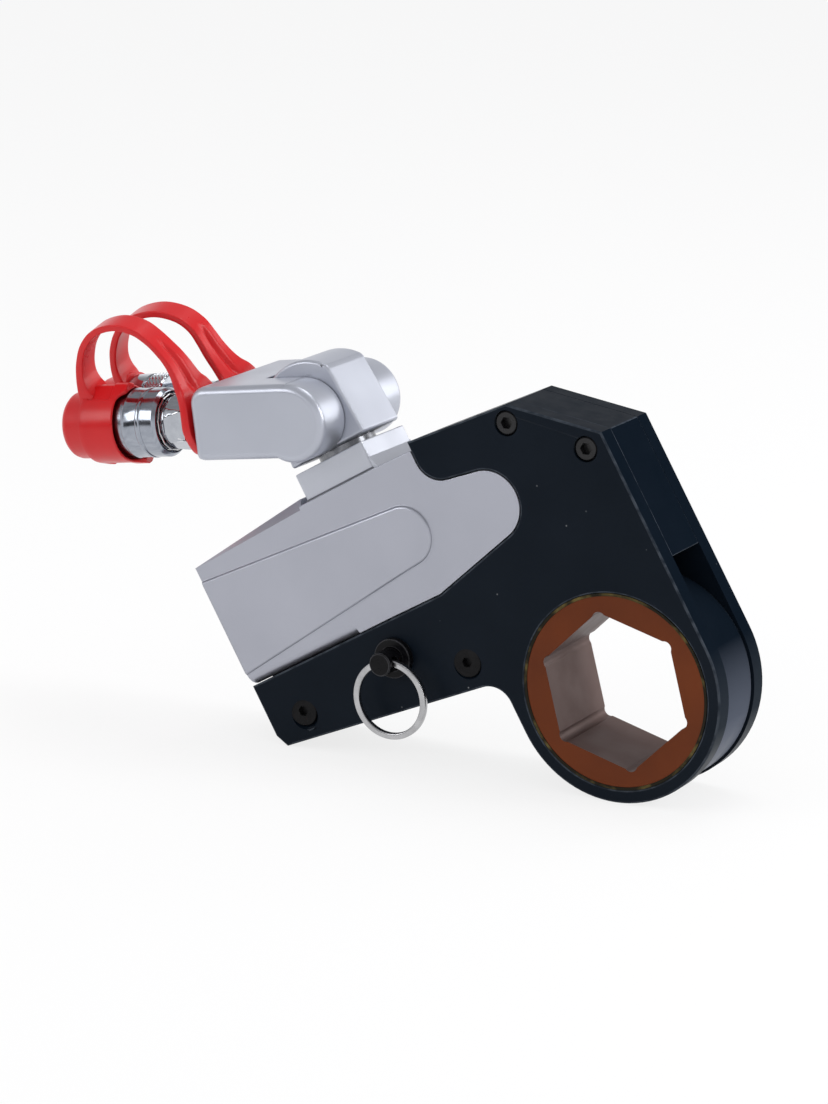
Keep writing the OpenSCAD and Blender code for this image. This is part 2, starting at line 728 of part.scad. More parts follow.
module pull_ring() {
    color(steel) lock_frame() translate([0, 0, -lock_hole_y]) rotate([0, 0, ring_slant - stand_tilt])
        translate([0, -ring_d / 2, 0]) rotate_extrude() translate([ring_d / 2, 0]) circle(ring_wire_r);
}

// Swivel: flange on the head's pad, post, knuckle
module flange_plan() { square([flange_len, flange_w], center = true); }
module neck_gasket() {
    color(seal) stand() translate([swivel_u, 0, pad_v]) linear_extrude(gasket_t) difference() {
        flange_plan();
        circle(retainer_r + gap_c);
        for (x = [-1, 1], y = [-1, 1]) translate([x * neck_screw_at[0], y * neck_screw_at[1]]) circle(1.8);
    }
}
module neck_flange() {
    color(satin) stand() translate([swivel_u, 0, flange_v]) difference() {
        linear_extrude(flange_t) flange_plan();
        translate([0, 0, -eps]) cylinder(r = post_r + run_c, h = flange_t + 1);
        translate([0, 0, -eps]) cylinder(r = retainer_r + gap_c, h = retainer_t + gap_c - gasket_t + 0.1);
        for (x = [-1, 1], y = [-1, 1]) translate([x * neck_screw_at[0], y * neck_screw_at[1], 0]) {
            translate([0, 0, -eps]) cylinder(r = 1.8, h = flange_t + 1);
            translate([0, 0, flange_t - 4]) cylinder(r = neck_head_r + 0.2, h = 5);
        }
    }
}
module neck_screws() {
    color(black) stand() for (x = [-1, 1], y = [-1, 1])
        translate([swivel_u + x * neck_screw_at[0], y * neck_screw_at[1], 0]) difference() {
            union() {
                translate([0, 0, pad_v - 8]) cylinder(r = 1.65, h = flange_v + flange_t - 3 - pad_v + 8);
                translate([0, 0, flange_v + flange_t - 4]) cylinder(r = neck_head_r, h = 3.5);
            }
            translate([0, 0, flange_v + flange_t - 2.4]) cylinder(r = 1.4, h = 3, $fn = 6);
        }
}
module swivel_post() {
    color(steel) stand() translate([swivel_u, 0, 0]) difference() {
        union() {
            translate([0, 0, post_low_v + 0.3]) cylinder(r = post_r, h = knuckle_v - post_low_v - 0.3);
            translate([0, 0, knuckle_v - eps]) cylinder(r = post_stud_r, h = post_stud_h);
        }
        translate([0, 0, pad_v + 0.1]) tube(post_r - 1.4, post_r + 1, retainer_t);
        for (v = [2.5, 8]) translate([0, 0, post_low_v + v]) tube(post_r - 1.3, post_r + 1, 1.8);
    }
}
module post_seals() {
    color(seal) stand() translate([swivel_u, 0, post_low_v]) for (v = [2.5, 8]) translate([0, 0, v])
        tube(post_r - 1.3, post_r, 1.8);
}
module post_retainer() {
    color(steel) stand() translate([swivel_u, 0, pad_v + 0.1]) tube(post_r - 1.4, retainer_r, retainer_t);
}
module knuckle() {
    half = knuckle_len / 2;
    shoulder = half - 2.4;
    color(satin) stand() translate([swivel_u, 0, tilt_v]) difference() {
        slab(-knuckle_w / 2, knuckle_w / 2) intersection() {
            polygon([[-half, -tilt_h], [half, -tilt_h], [shoulder, knuckle_r], [-shoulder, knuckle_r]]);
            union() {
                circle(knuckle_r);
                translate([-half, -tilt_h]) square([2 * half, tilt_h]);
            }
        }
        rod_along_y(tilt_r + run_c, -knuckle_w, knuckle_w);
        translate([0, 0, -tilt_h - eps]) cylinder(r = post_stud_r, h = post_stud_h + eps);
    }
}

// Yoke: two arms on the tilt shaft and the block that carries the couplers
module manifold_yoke() {
    color(satin) yoke_frame() difference() {
        slab(-yoke_half, yoke_half) difference() {
            union() {
                circle(yoke_r);
                translate([-yoke_len, -yoke_low]) square([yoke_len, yoke_low + yoke_top]);
            }
            translate([-yoke_len, yoke_top] + yoke_corner_r * [0, -1]) difference() {
                translate([-eps, 0]) square(yoke_corner_r + eps);
                translate([yoke_corner_r, 0]) circle(yoke_corner_r);
            }
            difference() {
                translate([0, yoke_r - 1]) square(yoke_r);
                circle(yoke_r);
            }
        }
        rod_along_y(yoke_slot_r, -yoke_slot, yoke_slot);
        rod_along_y(tilt_r, -tilt_blind, yoke_half);
        rod_along_y(tilt_plug_r, yoke_half - tilt_plug_t, yoke_half + eps);
        for (side = [-1, 1]) {
            translate([-yoke_len - eps, side * coupler_y, 0]) rotate([0, 90, 0])
                cylinder(r = port_r, h = port_depth + eps);
            translate([-yoke_len + 2, side * (yoke_slot + 3.6), 0]) rotate([0, 90, 0])
                cylinder(r = oil_r, h = yoke_len - 4);
        }
    }
}
module tilt_shaft() {
    color(steel) yoke_frame() difference() {
        rod_along_y(tilt_r, -tilt_blind, yoke_half - tilt_plug_t);
        for (y = [-9, -1, 7]) tilt_groove(y, tilt_r + 1);
    }
}
module tilt_groove(y, r_out) { translate([0, y, 0]) rotate([-90, 0, 0]) tube(tilt_r - 1.3, r_out, 2); }
module tilt_seals() { color(seal) yoke_frame() for (y = [-9, -1, 7]) tilt_groove(y, tilt_r); }
module tilt_plug() {
    color(steel) yoke_frame() difference() {
        rod_along_y(tilt_plug_r, yoke_half - tilt_plug_t, yoke_half);
        slab(yoke_half - 4, yoke_half + 1) circle(4, $fn = 6);
    }
}

// What both coupler bodies share: thread in the yoke, neck and hexagon
module coupler_root() {
    translate([0, 0, yoke_len - port_depth + 1]) cylinder(r = port_r, h = port_depth - 1 + eps);
    translate([0, 0, yoke_len]) cylinder(r = neck_r, h = nut_p - yoke_len + eps);
    intersection() {
        translate([0, 0, nut_p]) cylinder(r = nut_corner_r, h = body_p - nut_p, $fn = 6);
        translate([0, 0, nut_p - eps]) cylinder(r1 = nut_corner_r, r2 = nut_corner_r - 1.2, h = body_p - nut_p + 1);
    }
}
module near_coupler_body() {
    color(steel) coupler_frame(-1) difference() {
        union() {
            coupler_root();
            translate([0, 0, body_p - eps]) cylinder(r = body_r, h = mouth_p - body_p + eps);
        }
        translate([0, 0, mouth_p - mouth_depth]) cylinder(r = mouth_r, h = mouth_depth + 1);
        translate([0, 0, mouth_p - mouth_depth - 12]) cylinder(r = poppet_r + 0.3, h = 13);
        translate([0, 0, yoke_len - port_depth]) cylinder(r = 2.4, h = far_out / 8);
    }
}
module near_sleeve() {
    color(steel) coupler_frame(-1) translate([0, 0, sleeve_p]) difference() {
        union() {
            cylinder(r1 = sleeve_r - 2.2, r2 = sleeve_r - 0.2, h = 4);
            translate([0, 0, 4]) cylinder(r = sleeve_r - 0.2, h = sleeve_len - 4);
            translate([0, 0, 10]) cylinder(r = sleeve_r, h = 2.4);
            translate([0, 0, sleeve_len - 3.4]) cylinder(r = sleeve_r, h = 2.4);
        }
        translate([0, 0, -eps]) cylinder(r = body_r + 0.08, h = sleeve_len + 1);
        translate([0, 0, -eps]) cylinder(r = nut_corner_r + gap_c, h = sleeve_step);
    }
}
module sleeve_spring() {
    color(steel) coupler_frame(-1) translate([0, 0, body_p])
        coil(body_r + 0.85, 0.35, sleeve_p + sleeve_step - body_p, 4);
}
module poppet(p) {
    translate([0, 0, p]) cylinder(r = poppet_r, h = 4);
    translate([0, 0, p + 4 - eps]) cylinder(r1 = poppet_r, r2 = 1.6, h = 3);
}
module near_poppet() { color(bronze) coupler_frame(-1) poppet(near_poppet_p); }
module near_poppet_spring() {
    color(steel) coupler_frame(-1) translate([0, 0, near_poppet_p - poppet_spring_h])
        coil(poppet_r - 0.6, 0.35, poppet_spring_h, 5);
}
module far_coupler_body() {
    color(steel) coupler_frame(1) difference() {
        union() {
            coupler_root();
            translate([0, 0, body_p - eps]) cylinder(r = body_r, h = collar_p - body_p - gap_c);
            translate([0, 0, body_p]) cylinder(r = shank_r, h = band_p - body_p + eps);
            translate([0, 0, band_p]) cylinder(r = band_r, h = band_len);
            translate([0, 0, band_p + band_len - eps]) cylinder(r = male_r, h = male_p - band_p - band_len);
        }
        translate([0, 0, far_poppet_p - poppet_spring_h - 0.4]) cylinder(r = poppet_r + 0.3, h = far_out / 8);
        translate([0, 0, yoke_len - port_depth]) cylinder(r = 2.4, h = far_out / 8);
    }
}
module far_collar() {
    color(steel) coupler_frame(1) translate([0, 0, collar_p]) tube(shank_r + 0.08, collar_r, collar_len);
}
module far_poppet() { color(bronze) coupler_frame(1) poppet(far_poppet_p); }
module far_poppet_spring() {
    color(steel) coupler_frame(1) translate([0, 0, far_poppet_p - poppet_spring_h])
        coil(poppet_r - 0.6, 0.35, poppet_spring_h, 5);
}

// Caps: a rim round the coupler's end, a many-sided grip and a round nose
module cap_outside(rim_p) {
    translate([0, 0, rim_p]) cylinder(r = cap_half, h = 4);
    translate([0, 0, rim_p + 3]) rotate(22.5)
        cylinder(r = cap_grip_r, h = cap_pad_p - rim_p - 3, $fn = 8);
    translate([0, 0, cap_pad_p - eps]) cylinder(r1 = cap_nose_r, r2 = cap_nose_r - 1, h = cap_end_p - cap_pad_p - 2);
    translate([0, 0, cap_end_p - 2.1]) cylinder(r1 = cap_nose_r - 1, r2 = cap_nose_r - 3.5, h = 2.1);
}
module near_cap() {
    color(red) coupler_frame(-1) difference() {
        cap_outside(cap_rim_p);
        translate([0, 0, cap_rim_p - eps])
            cylinder(r = sleeve_r + gap_c, h = sleeve_p + sleeve_len + gap_c - cap_rim_p + eps);
        translate([0, 0, cap_rim_p]) cylinder(r = body_r + gap_c, h = mouth_p + gap_c - cap_rim_p);
    }
}
module far_cap() {
    color(red) coupler_frame(1) difference() {
        translate([0, 0, cap_shift_far]) cap_outside(far_rim_p - cap_shift_far);
        translate([0, 0, far_rim_p - eps])
            cylinder(r = band_r + gap_c, h = band_p + band_len + gap_c - far_rim_p + eps);
        translate([0, 0, far_rim_p]) cylinder(r = male_r + gap_c, h = male_p + gap_c - far_rim_p);
    }
}
// Strap: a ring on the coupler's neck and a flat band in an arch to the top of the cap
module cap_strap(side, reach) {
    mid = strap_p + reach / 2;
    arch = strap_r + reach / 2;
    color(red) yoke_frame() translate([0, side * coupler_y, 0]) {
        slab(-strap_w / 2, strap_w / 2) {
            intersection() {
                translate([-mid, cap_flat + 0.05]) difference() {
                    circle(arch);
                    circle(arch - strap_t);
                }
                translate([-far_out, cap_flat + 0.05]) square([2 * far_out, far_out]);
            }
        }
        slab(-strap_w / 2, strap_w / 2) translate([-mid + arch - strap_t, strap_ring_r - 2])
            square([strap_t, cap_flat - strap_ring_r + 2.1]);
        translate([-strap_ring_p[1], 0, 0]) rotate([0, 90, 0])
            tube(neck_r + 0.1, strap_ring_r, strap_ring_p[1] - strap_ring_p[0]);
    }
}
module near_strap() { cap_strap(-1, 0); }
module far_strap() { cap_strap(1, cap_shift_far); }

front_plate();
rear_plate();
top_spacer();
heel_spacer();
tail_spacer();
front_bush();
rear_bush();
corner_screws();
tail_screws();
ratchet_wheel();
drive_lever();
drive_pin();
drive_pawl();
pawl_springs();
cylinder_body();
end_cap();
end_cap_seal();
gland_nut();
rod_seal();
rod_wiper();
piston();
piston_seal();
wear_ring();
piston_rod();
rod_end();
lock_pin();
lock_collar();
lock_spring();
pull_ring();
neck_flange();
neck_gasket();
neck_screws();
swivel_post();
post_seals();
post_retainer();
knuckle();
tilt_shaft();
tilt_seals();
tilt_plug();
manifold_yoke();
near_coupler_body();
near_sleeve();
sleeve_spring();
near_poppet();
near_poppet_spring();
near_cap();
near_strap();
far_coupler_body();
far_collar();
far_poppet();
far_poppet_spring();
far_cap();
far_strap();
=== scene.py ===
"""Looks of a low-profile hydraulic torque wrench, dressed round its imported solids.

The wrench stands on its nose and its tail, so the head, the link and the swivel lie along axes that are
turned by STAND. Sizes in the tables are millimetres, and the meshes are in metres.
"""

import json
import math

import bmesh
import bpy
from mathutils import Matrix, Vector

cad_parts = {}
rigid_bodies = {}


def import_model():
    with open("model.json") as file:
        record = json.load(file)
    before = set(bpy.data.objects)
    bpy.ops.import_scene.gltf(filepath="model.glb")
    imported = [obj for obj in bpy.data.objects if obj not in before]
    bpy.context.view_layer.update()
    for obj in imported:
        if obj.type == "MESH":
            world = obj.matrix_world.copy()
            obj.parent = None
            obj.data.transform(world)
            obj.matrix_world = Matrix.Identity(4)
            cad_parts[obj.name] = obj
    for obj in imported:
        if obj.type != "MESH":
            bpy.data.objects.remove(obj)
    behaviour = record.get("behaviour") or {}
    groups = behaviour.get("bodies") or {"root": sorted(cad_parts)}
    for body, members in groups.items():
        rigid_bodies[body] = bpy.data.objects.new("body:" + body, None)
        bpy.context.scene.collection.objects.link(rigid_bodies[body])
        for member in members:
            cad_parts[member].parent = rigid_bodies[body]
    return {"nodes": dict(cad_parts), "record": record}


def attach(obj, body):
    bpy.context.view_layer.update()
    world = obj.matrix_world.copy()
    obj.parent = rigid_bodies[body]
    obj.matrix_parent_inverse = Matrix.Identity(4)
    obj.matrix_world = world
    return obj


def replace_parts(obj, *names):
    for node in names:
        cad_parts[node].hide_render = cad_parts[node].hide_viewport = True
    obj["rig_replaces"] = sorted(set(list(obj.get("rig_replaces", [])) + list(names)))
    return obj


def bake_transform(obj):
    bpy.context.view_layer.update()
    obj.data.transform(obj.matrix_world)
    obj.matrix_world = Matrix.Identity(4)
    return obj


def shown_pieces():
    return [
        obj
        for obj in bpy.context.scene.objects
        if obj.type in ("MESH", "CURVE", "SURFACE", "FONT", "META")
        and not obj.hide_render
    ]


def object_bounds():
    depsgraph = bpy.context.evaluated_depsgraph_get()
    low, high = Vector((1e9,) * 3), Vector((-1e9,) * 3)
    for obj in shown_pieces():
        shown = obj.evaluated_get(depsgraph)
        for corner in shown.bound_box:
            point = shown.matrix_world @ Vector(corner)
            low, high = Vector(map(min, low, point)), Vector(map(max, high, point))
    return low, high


for leftover in list(bpy.data.objects):
    bpy.data.objects.remove(leftover)
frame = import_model()
cad_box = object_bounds()
nodes = frame["nodes"]
scene = bpy.context.scene
scene.view_settings.view_transform = "Standard"

MM = 0.001
STAND = math.radians(30)
TILT_AXIS = Vector((-125.090, 0.0, 83.662))
COUPLER_OUT = Vector((-0.990268, 0.0, -0.139173))
COUPLER_UP = Vector((-0.139173, 0.0, 0.990268))
COUPLER_Y = 15.0
NEAR, FAR = -1, 1
LINK_HALF = 18.0
TOOL_FORWARD = (0.866, 0.0, 0.5)
TOOL_UP = (-0.5, 0.0, 0.866)
# Faces that look this way, down and out past the nose, get a lighter colour painted on as the floor's reflection.
FLOOR_REFLECTION_WAY = (0.72, 0.0, -0.69)
ACROSS_LINK = (0.0, 1.0, 0.0)
SAME_POINT = 0.002 * MM
SAME_PLANE = math.radians(0.5)
SPIKE = math.radians(165)
WORN_WIDTH = 1.0


def tool_point(u, y, v):
    """A point of the link and head: u along the cylinder, v across it."""
    return MM * Vector((u * math.cos(STAND) - v * math.sin(STAND), y,
                        u * math.sin(STAND) + v * math.cos(STAND)))


def tool_place(e):
    """The (u, y, v) of an edge's middle."""
    x, y, z = (e.verts[0].co + e.verts[1].co) / (2 * MM)
    return x * math.cos(STAND) + z * math.sin(STAND), y, z * math.cos(STAND) - x * math.sin(STAND)


def coupler_point(side, p, q, r):
    """A point of a coupler: p along it from the tilt axis, q upwards, r across towards the far side."""
    return MM * (TILT_AXIS + p * COUPLER_OUT + q * COUPLER_UP + Vector((0, side * COUPLER_Y + r, 0)))


# Camera


def aim_camera():
    """The photograph's viewing angle: from the nose's side, a little above."""
    data = bpy.data.cameras.new("camera")
    data.lens = 126.6
    data.clip_end = 20
    camera = bpy.data.objects.new("camera", data)
    scene.collection.objects.link(camera)
    camera.location = MM * Vector((571.14, -1180.97, 391.38))
    look = MM * Vector((-90.16, 0.33, 34.68)) - camera.location
    camera.rotation_euler = look.to_track_quat("-Z", "Y").to_euler()
    scene.camera = camera


# Finishes


class Finish:
    """A material under construction, with short ways to add its nodes."""

    def __init__(self, name):
        self.material = bpy.data.materials.new(name)
        self.material.use_nodes = True
        self.tree = self.material.node_tree
        self.shader = self.tree.nodes["Principled BSDF"]
        around = self.tree.nodes.new("ShaderNodeTexCoord").outputs
        self.place, self.normal = around["Object"], around["Normal"]
        self.bumps = None

    def add(self, kind, **values):
        node = self.tree.nodes.new(kind)
        for key, value in values.items():
            setattr(node, key, value)
        return node

    def join(self, source, target):
        self.tree.links.new(source, target)

    def set(self, **values):
        for key, value in values.items():
            self.shader.inputs[key.replace("_", " ")].default_value = value

    def noise(self, scale, detail=3.0, stretch=None):
        node = self.add("ShaderNodeTexNoise")
        node.inputs["Scale"].default_value = scale
        node.inputs["Detail"].default_value = detail
        where = self.place
        if stretch:
            mapping = self.add("ShaderNodeMapping")
            mapping.inputs["Scale"].default_value = stretch
            self.join(where, mapping.inputs["Vector"])
            where = mapping.outputs["Vector"]
        self.join(where, node.inputs["Vector"])
        return node.outputs["Fac"]

    def spread(self, value, low, high, from_low=0.3, from_high=0.7):
        node = self.add("ShaderNodeMapRange")
        node.inputs["From Min"].default_value = from_low
        node.inputs["From Max"].default_value = from_high
        node.inputs["To Min"].default_value = low
        node.inputs["To Max"].default_value = high
        self.join(value, node.inputs["Value"])
        return node.outputs["Result"]

    def times(self, first, second):
        node = self.add("ShaderNodeMath", operation="MULTIPLY")
        for socket, value in zip(node.inputs, (first, second)):
            if isinstance(value, float):
                socket.default_value = value
            else:
                self.join(value, socket)
        return node.outputs["Value"]

    def mix(self, share, first, second):
        node = self.add("ShaderNodeMix", data_type="RGBA")
        self.join(share, node.inputs["Factor"])
        for socket, value in ((node.inputs[6], first), (node.inputs[7], second)):
            if isinstance(value, tuple):
                socket.default_value = (*value, 1.0)
            else:
                self.join(value, socket)
        return node.outputs[2]

    def facing(self, way):
        """How nearly a face looks along way, from -1 to 1."""
        node = self.add("ShaderNodeVectorMath", operation="DOT_PRODUCT")
        self.join(self.normal, node.inputs[0])
        node.inputs[1].default_value = way
        return node.outputs["Value"]

    def colour(self, value):
        self.join(value, self.shader.inputs["Base Color"])

    def roughness(self, value):
        self.join(value, self.shader.inputs["Roughness"])

    def bump(self, height, depth, strength):
        node = self.add("ShaderNodeBump")
        node.inputs["Strength"].default_value = strength
        node.inputs["Distance"].default_value = depth * MM
        self.join(height, node.inputs["Height"])
        if self.bumps:
            self.join(self.bumps, node.inputs["Normal"])
        self.bumps = node.outputs["Normal"]
        self.join(self.bumps, self.shader.inputs["Normal"])

    def worn(self):
        """The share of wear that a piece keeps on its rounded edges, broken up by noise."""
        edge = self.add("ShaderNodeAttribute", attribute_name="worn")
        return self.times(edge.outputs["Fac"], self.spread(self.noise(260, 4), 0.25, 1.0, 0.35, 0.6))

    def specks(self, scale, size):
        """Sparse bright dots, such as dust on a dark face."""
        dots = self.add("ShaderNodeTexVoronoi")
        dots.inputs["Scale"].default_value = scale
        self.join(self.place, dots.inputs["Vector"])
        near = self.spread(dots.outputs["Distance"], 1.0, 0.0, size * 0.5, size)
        rare = self.add("ShaderNodeSeparateColor")
        self.join(dots.outputs["Color"], rare.inputs["Color"])
        return self.times(near, self.spread(rare.outputs["Red"], 0.0, 1.0, 0.90, 0.97))


def black_coating(name, low_side):
    """Satin black with a blue cast on the link: faint mottling, edges rubbed lighter, a few dust specks. Faces that
    look down and out take a lighter colour, a painted reflection of the pale floor, and the shine fades on those
    that look forward."""
    f = Finish(name)
    base = f.mix(f.spread(f.noise(35, 4), 0, 1), (0.0040, 0.0075, 0.0130), (0.0060, 0.0100, 0.0165))
    base = f.mix(f.worn(), base, (0.050, 0.060, 0.075))
    base = f.mix(f.specks(260, 0.10), base, (0.20, 0.21, 0.22))
    # Painted reflection: faces that look down and out are mixed towards a lighter colour that stands in for the
    # floor they face.
    f.colour(f.mix(f.spread(f.facing(FLOOR_REFLECTION_WAY), 0.0, 1.0, 0.30, 0.95), base, low_side))
    f.roughness(f.spread(f.noise(140, 3), 0.36, 0.46))
    f.bump(f.noise(2600, 2), 0.02, 0.12)
    dull = f.spread(f.facing(TOOL_FORWARD), 0.07, 0.0, 0.30, 0.75)
    shine = f.add("ShaderNodeMath", operation="MAXIMUM")
    f.join(dull, shine.inputs[0])
    f.join(f.spread(f.facing(TOOL_UP), 0.0, 0.5, 0.90, 0.97), shine.inputs[1])
    f.join(shine.outputs[0], f.shader.inputs["Specular IOR Level"])
    return f.material


def satin_silver(name, dark, light, rough, metal):
    """Bead-blasted aluminium: soft cloudiness and a fine grain."""
    f = Finish(name)
    base = f.mix(f.spread(f.noise(18, 4), 0, 1), dark, light)
    base = f.mix(f.times(f.specks(330, 0.12), 0.15), base, (0.25, 0.25, 0.26))
    f.colour(base)
    f.roughness(f.spread(f.noise(60, 3), rough - 0.04, rough + 0.05))
    f.bump(f.noise(3200, 2), 0.02, 0.10)
    f.set(Metallic=metal)
    return f.material


def copper_coating():
    """Brown copper coating on the ratchet's faces, patchy, greyer in the hexagon and bright along its edges."""
    f = Finish("ratchet_copper")
    base = f.mix(f.spread(f.noise(45, 5), 0, 1), (0.112, 0.027, 0.009), (0.155, 0.037, 0.011))
    outside = f.times(f.facing(ACROSS_LINK), f.facing(ACROSS_LINK))
    base = f.mix(f.spread(outside, 1.0, 0.0, 0.2, 0.8), base, (0.120, 0.076, 0.068))
    base = f.mix(f.worn(), base, (0.42, 0.20, 0.13))
    f.colour(base)
    f.roughness(f.spread(f.noise(90, 4), 0.40, 0.55))
    f.bump(f.noise(1800, 3), 0.02, 0.15)
    f.set(Metallic=0.35, Specular_IOR_Level=0.15)
    return f.material


def bronze():
    """Dark bronze with golden patches where it is rubbed."""
    f = Finish("bush_bronze")
    f.colour(f.mix(f.spread(f.noise(120, 4), 0, 1, 0.52, 0.70), (0.016, 0.014, 0.009), (0.14, 0.105, 0.035)))
    f.roughness(f.spread(f.noise(300, 3), 0.30, 0.45))
    f.set(Metallic=0.9)
    return f.material


def ground_steel(name, dark, light, low, high):
    """Bare steel with fine machining streaks."""
    f = Finish(name)
    streaks = f.noise(60, 3, stretch=(4, 30, 4))
    base = f.mix(f.spread(streaks, 0, 1), dark, light)
    f.colour(f.mix(f.times(f.worn(), 0.6), base, (0.8, 0.8, 0.82)))
    f.roughness(f.spread(f.noise(200, 3), low, high))
    f.set(Metallic=1.0)
    return f.material


def moulded_red():
    """Semi-gloss red moulding: slight flow marks, scuffs that take the shine off."""
    f = Finish("cap_red")
    f.colour(f.mix(f.spread(f.noise(30, 4), 0, 1), (0.58, 0.007, 0.010), (0.67, 0.011, 0.014)))
    f.roughness(f.spread(f.noise(110, 5), 0.26, 0.38))
    f.bump(f.noise(420, 3), 0.03, 0.12)
    f.set(Specular_IOR_Level=0.38, Subsurface_Weight=0.05, Subsurface_Scale=0.002)
    return f.material


def black_oxide(name, dark, light, shine):
    """Blackened steel, a little lighter along its edges."""
    f = Finish(name)
    f.colour(f.mix(f.worn(), f.mix(f.spread(f.noise(200, 3), 0, 1), dark, light), (0.05, 0.05, 0.055)))
    f.roughness(f.spread(f.noise(400, 3), 0.22, 0.36))
    f.set(Specular_IOR_Level=shine)
    return f.material


def rubber(name, dark, light):
    """A dull, faintly mottled rubber."""
    f = Finish(name)
    f.colour(f.mix(f.spread(f.noise(150, 3), 0, 1), dark, light))
    f.roughness(f.spread(f.noise(500, 2), 0.6, 0.8))
    return f.material


aim_camera()
FINISHES = {
    # The last colour of each black coating is the painted floor reflection on faces that look down and out.
    "plate_black": black_coating("plate_black", (0.028, 0.034, 0.042)),
    "lever_black": black_coating("lever_black", (0.095, 0.108, 0.140)),
    "head_silver": satin_silver("head_silver", (0.400, 0.412, 0.468), (0.445, 0.457, 0.518), 0.40, 0.72),
    "flange_silver": satin_silver("flange_silver", (0.490, 0.508, 0.562), (0.540, 0.560, 0.620), 0.36, 0.65),
    "swivel_silver": satin_silver("swivel_silver", (0.450, 0.472, 0.535), (0.500, 0.522, 0.590), 0.36, 0.60),
    "ratchet_copper": copper_coating(),
    "bush_bronze": bronze(),
    "steel": ground_steel("steel", (0.50, 0.50, 0.51), (0.64, 0.64, 0.65), 0.16, 0.28),
    "post_steel": ground_steel("post_steel", (0.15, 0.155, 0.17), (0.22, 0.225, 0.24), 0.18, 0.30),
    "coupler_chrome": ground_steel("coupler_chrome", (0.40, 0.42, 0.46), (0.48, 0.50, 0.54), 0.07, 0.16),
    # A darker copy of the coupler's chrome: painted shade for the dark reflections along the sleeve.
    "sleeve_chrome": ground_steel("sleeve_chrome", (0.30, 0.325, 0.375), (0.38, 0.405, 0.455), 0.12, 0.22),
    "seal_black": rubber("seal_black", (0.010, 0.010, 0.011), (0.022, 0.022, 0.023)),
    "gasket_grey": rubber("gasket_grey", (0.17, 0.175, 0.19), (0.21, 0.215, 0.23)),
    "cap_red": moulded_red(),
    "screw_black": black_oxide("screw_black", (0.006, 0.006, 0.007), (0.014, 0.014, 0.016), 0.35),
    "pin_black": black_oxide("pin_black", (0.003, 0.003, 0.004), (0.006, 0.006, 0.007), 0.12),
    "disc_black": black_oxide("disc_black", (0.0085, 0.0085, 0.0092), (0.0125, 0.0122, 0.013), 0.07),
    "ring_steel": ground_steel("ring_steel", (0.40, 0.40, 0.41), (0.50, 0.50, 0.51), 0.22, 0.34),
}
SLOT_OF = {part["node"]: part["material_slot"] for part in frame["record"]["subparts"]}


# Pieces


def new_piece(name, mesh):
    piece = bpy.data.objects.new(name, mesh)
    scene.collection.objects.link(piece)
    return piece


def shade(mesh, angle=32):
    mesh.polygons.foreach_set("use_smooth", [True] * len(mesh.polygons))
    mesh.set_sharp_from_angle(angle=math.radians(angle))
    mesh.update()


def dress(piece, body, slot_name, *stands_for, finish=None):
    """Gives a finished piece its finish, its body and the nodes it stands for."""
    piece.data.materials.clear()
    piece.data.materials.append(FINISHES[finish or slot_name])
    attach(piece, body)
    if stands_for:
        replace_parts(piece, *stands_for)
    return piece


def baked(piece):
    """The piece with its modifiers turned into plain mesh."""
    bpy.context.view_layer.update()
    mesh = bpy.data.meshes.new_from_object(piece.evaluated_get(bpy.context.evaluated_depsgraph_get()))
    piece.modifiers.clear()
    piece.data = mesh
    return piece


def body_of_node(node):
    return nodes[node].parent.name.replace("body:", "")


def round_edges(bm, pick, width, steps):
    """Rounds the edges that pick accepts, and marks the new faces of a narrow rounding as worn."""
    layer = bm.faces.layers.float.get("worn") or bm.faces.layers.float.new("worn")
    edges = [e for e in bm.edges if len(e.link_faces) == 2 and pick(e)]
    made = bmesh.ops.bevel(bm, geom=edges, offset=width * MM, offset_type="OFFSET", segments=steps,
                           profile=0.5, affect="EDGES", clamp_overlap=False, loop_slide=True)
    for face in made["faces"] if width < WORN_WIDTH else []:
        face[layer] = 1.0


def sharp(e, angle=28):
    return e.calc_face_angle(0.0) > math.radians(angle)


def take_out_spikes(bm):
    """Joins each point where a rounding runs back on itself, at a short edge, to the point after it."""
    bm.normal_update()
    folded = []
    for loops in bm.calc_loop_triangles():
        a, b, c = (loop.vert.co for loop in loops)
        face = loops[0].face
        turned = (b - a).cross(c - a).dot(face.normal) < -MM * MM
        if turned and len(face.verts) > 4 and face not in folded:
            folded.append(face)
    joined = {}
    for face in folded:
        for loop in face.loops:
            come = loop.vert.co - loop.link_loop_prev.vert.co
            go = loop.link_loop_next.vert.co - loop.vert.co
            if come.angle(go, 0) > SPIKE:
                joined[loop.vert] = loop.link_loop_next.vert
    bmesh.ops.weld_verts(bm, targetmap=joined)


def soften(node, slot_name, *rounds, finish=None):
    """A copy of a CAD node with its edges rounded, standing for the node."""
    mesh = nodes[node].data.copy()
    bm = bmesh.new()
    bm.from_mesh(mesh)
    bmesh.ops.remove_doubles(bm, verts=bm.verts, dist=SAME_POINT)
    bmesh.ops.dissolve_limit(bm, angle_limit=SAME_PLANE, verts=bm.verts, edges=bm.edges)
    for pick, width, steps in rounds:
        round_edges(bm, pick, width, steps)
    take_out_spikes(bm)
    bm.to_mesh(mesh)
    bm.free()
    shade(mesh)
    piece = new_piece(node + "_finished", mesh)
    piece.modifiers.new("flat_faces", "WEIGHTED_NORMAL").keep_sharp = True
    return dress(baked(piece), body_of_node(node), slot_name, node, finish=finish)


def on_side(half):
    """Edges that lie in one of the two planes |y| = half."""
    def pick(e):
        return sharp(e) and all(abs(abs(v.co.y) - half * MM) < 0.02 * MM for v in e.verts)
    return pick


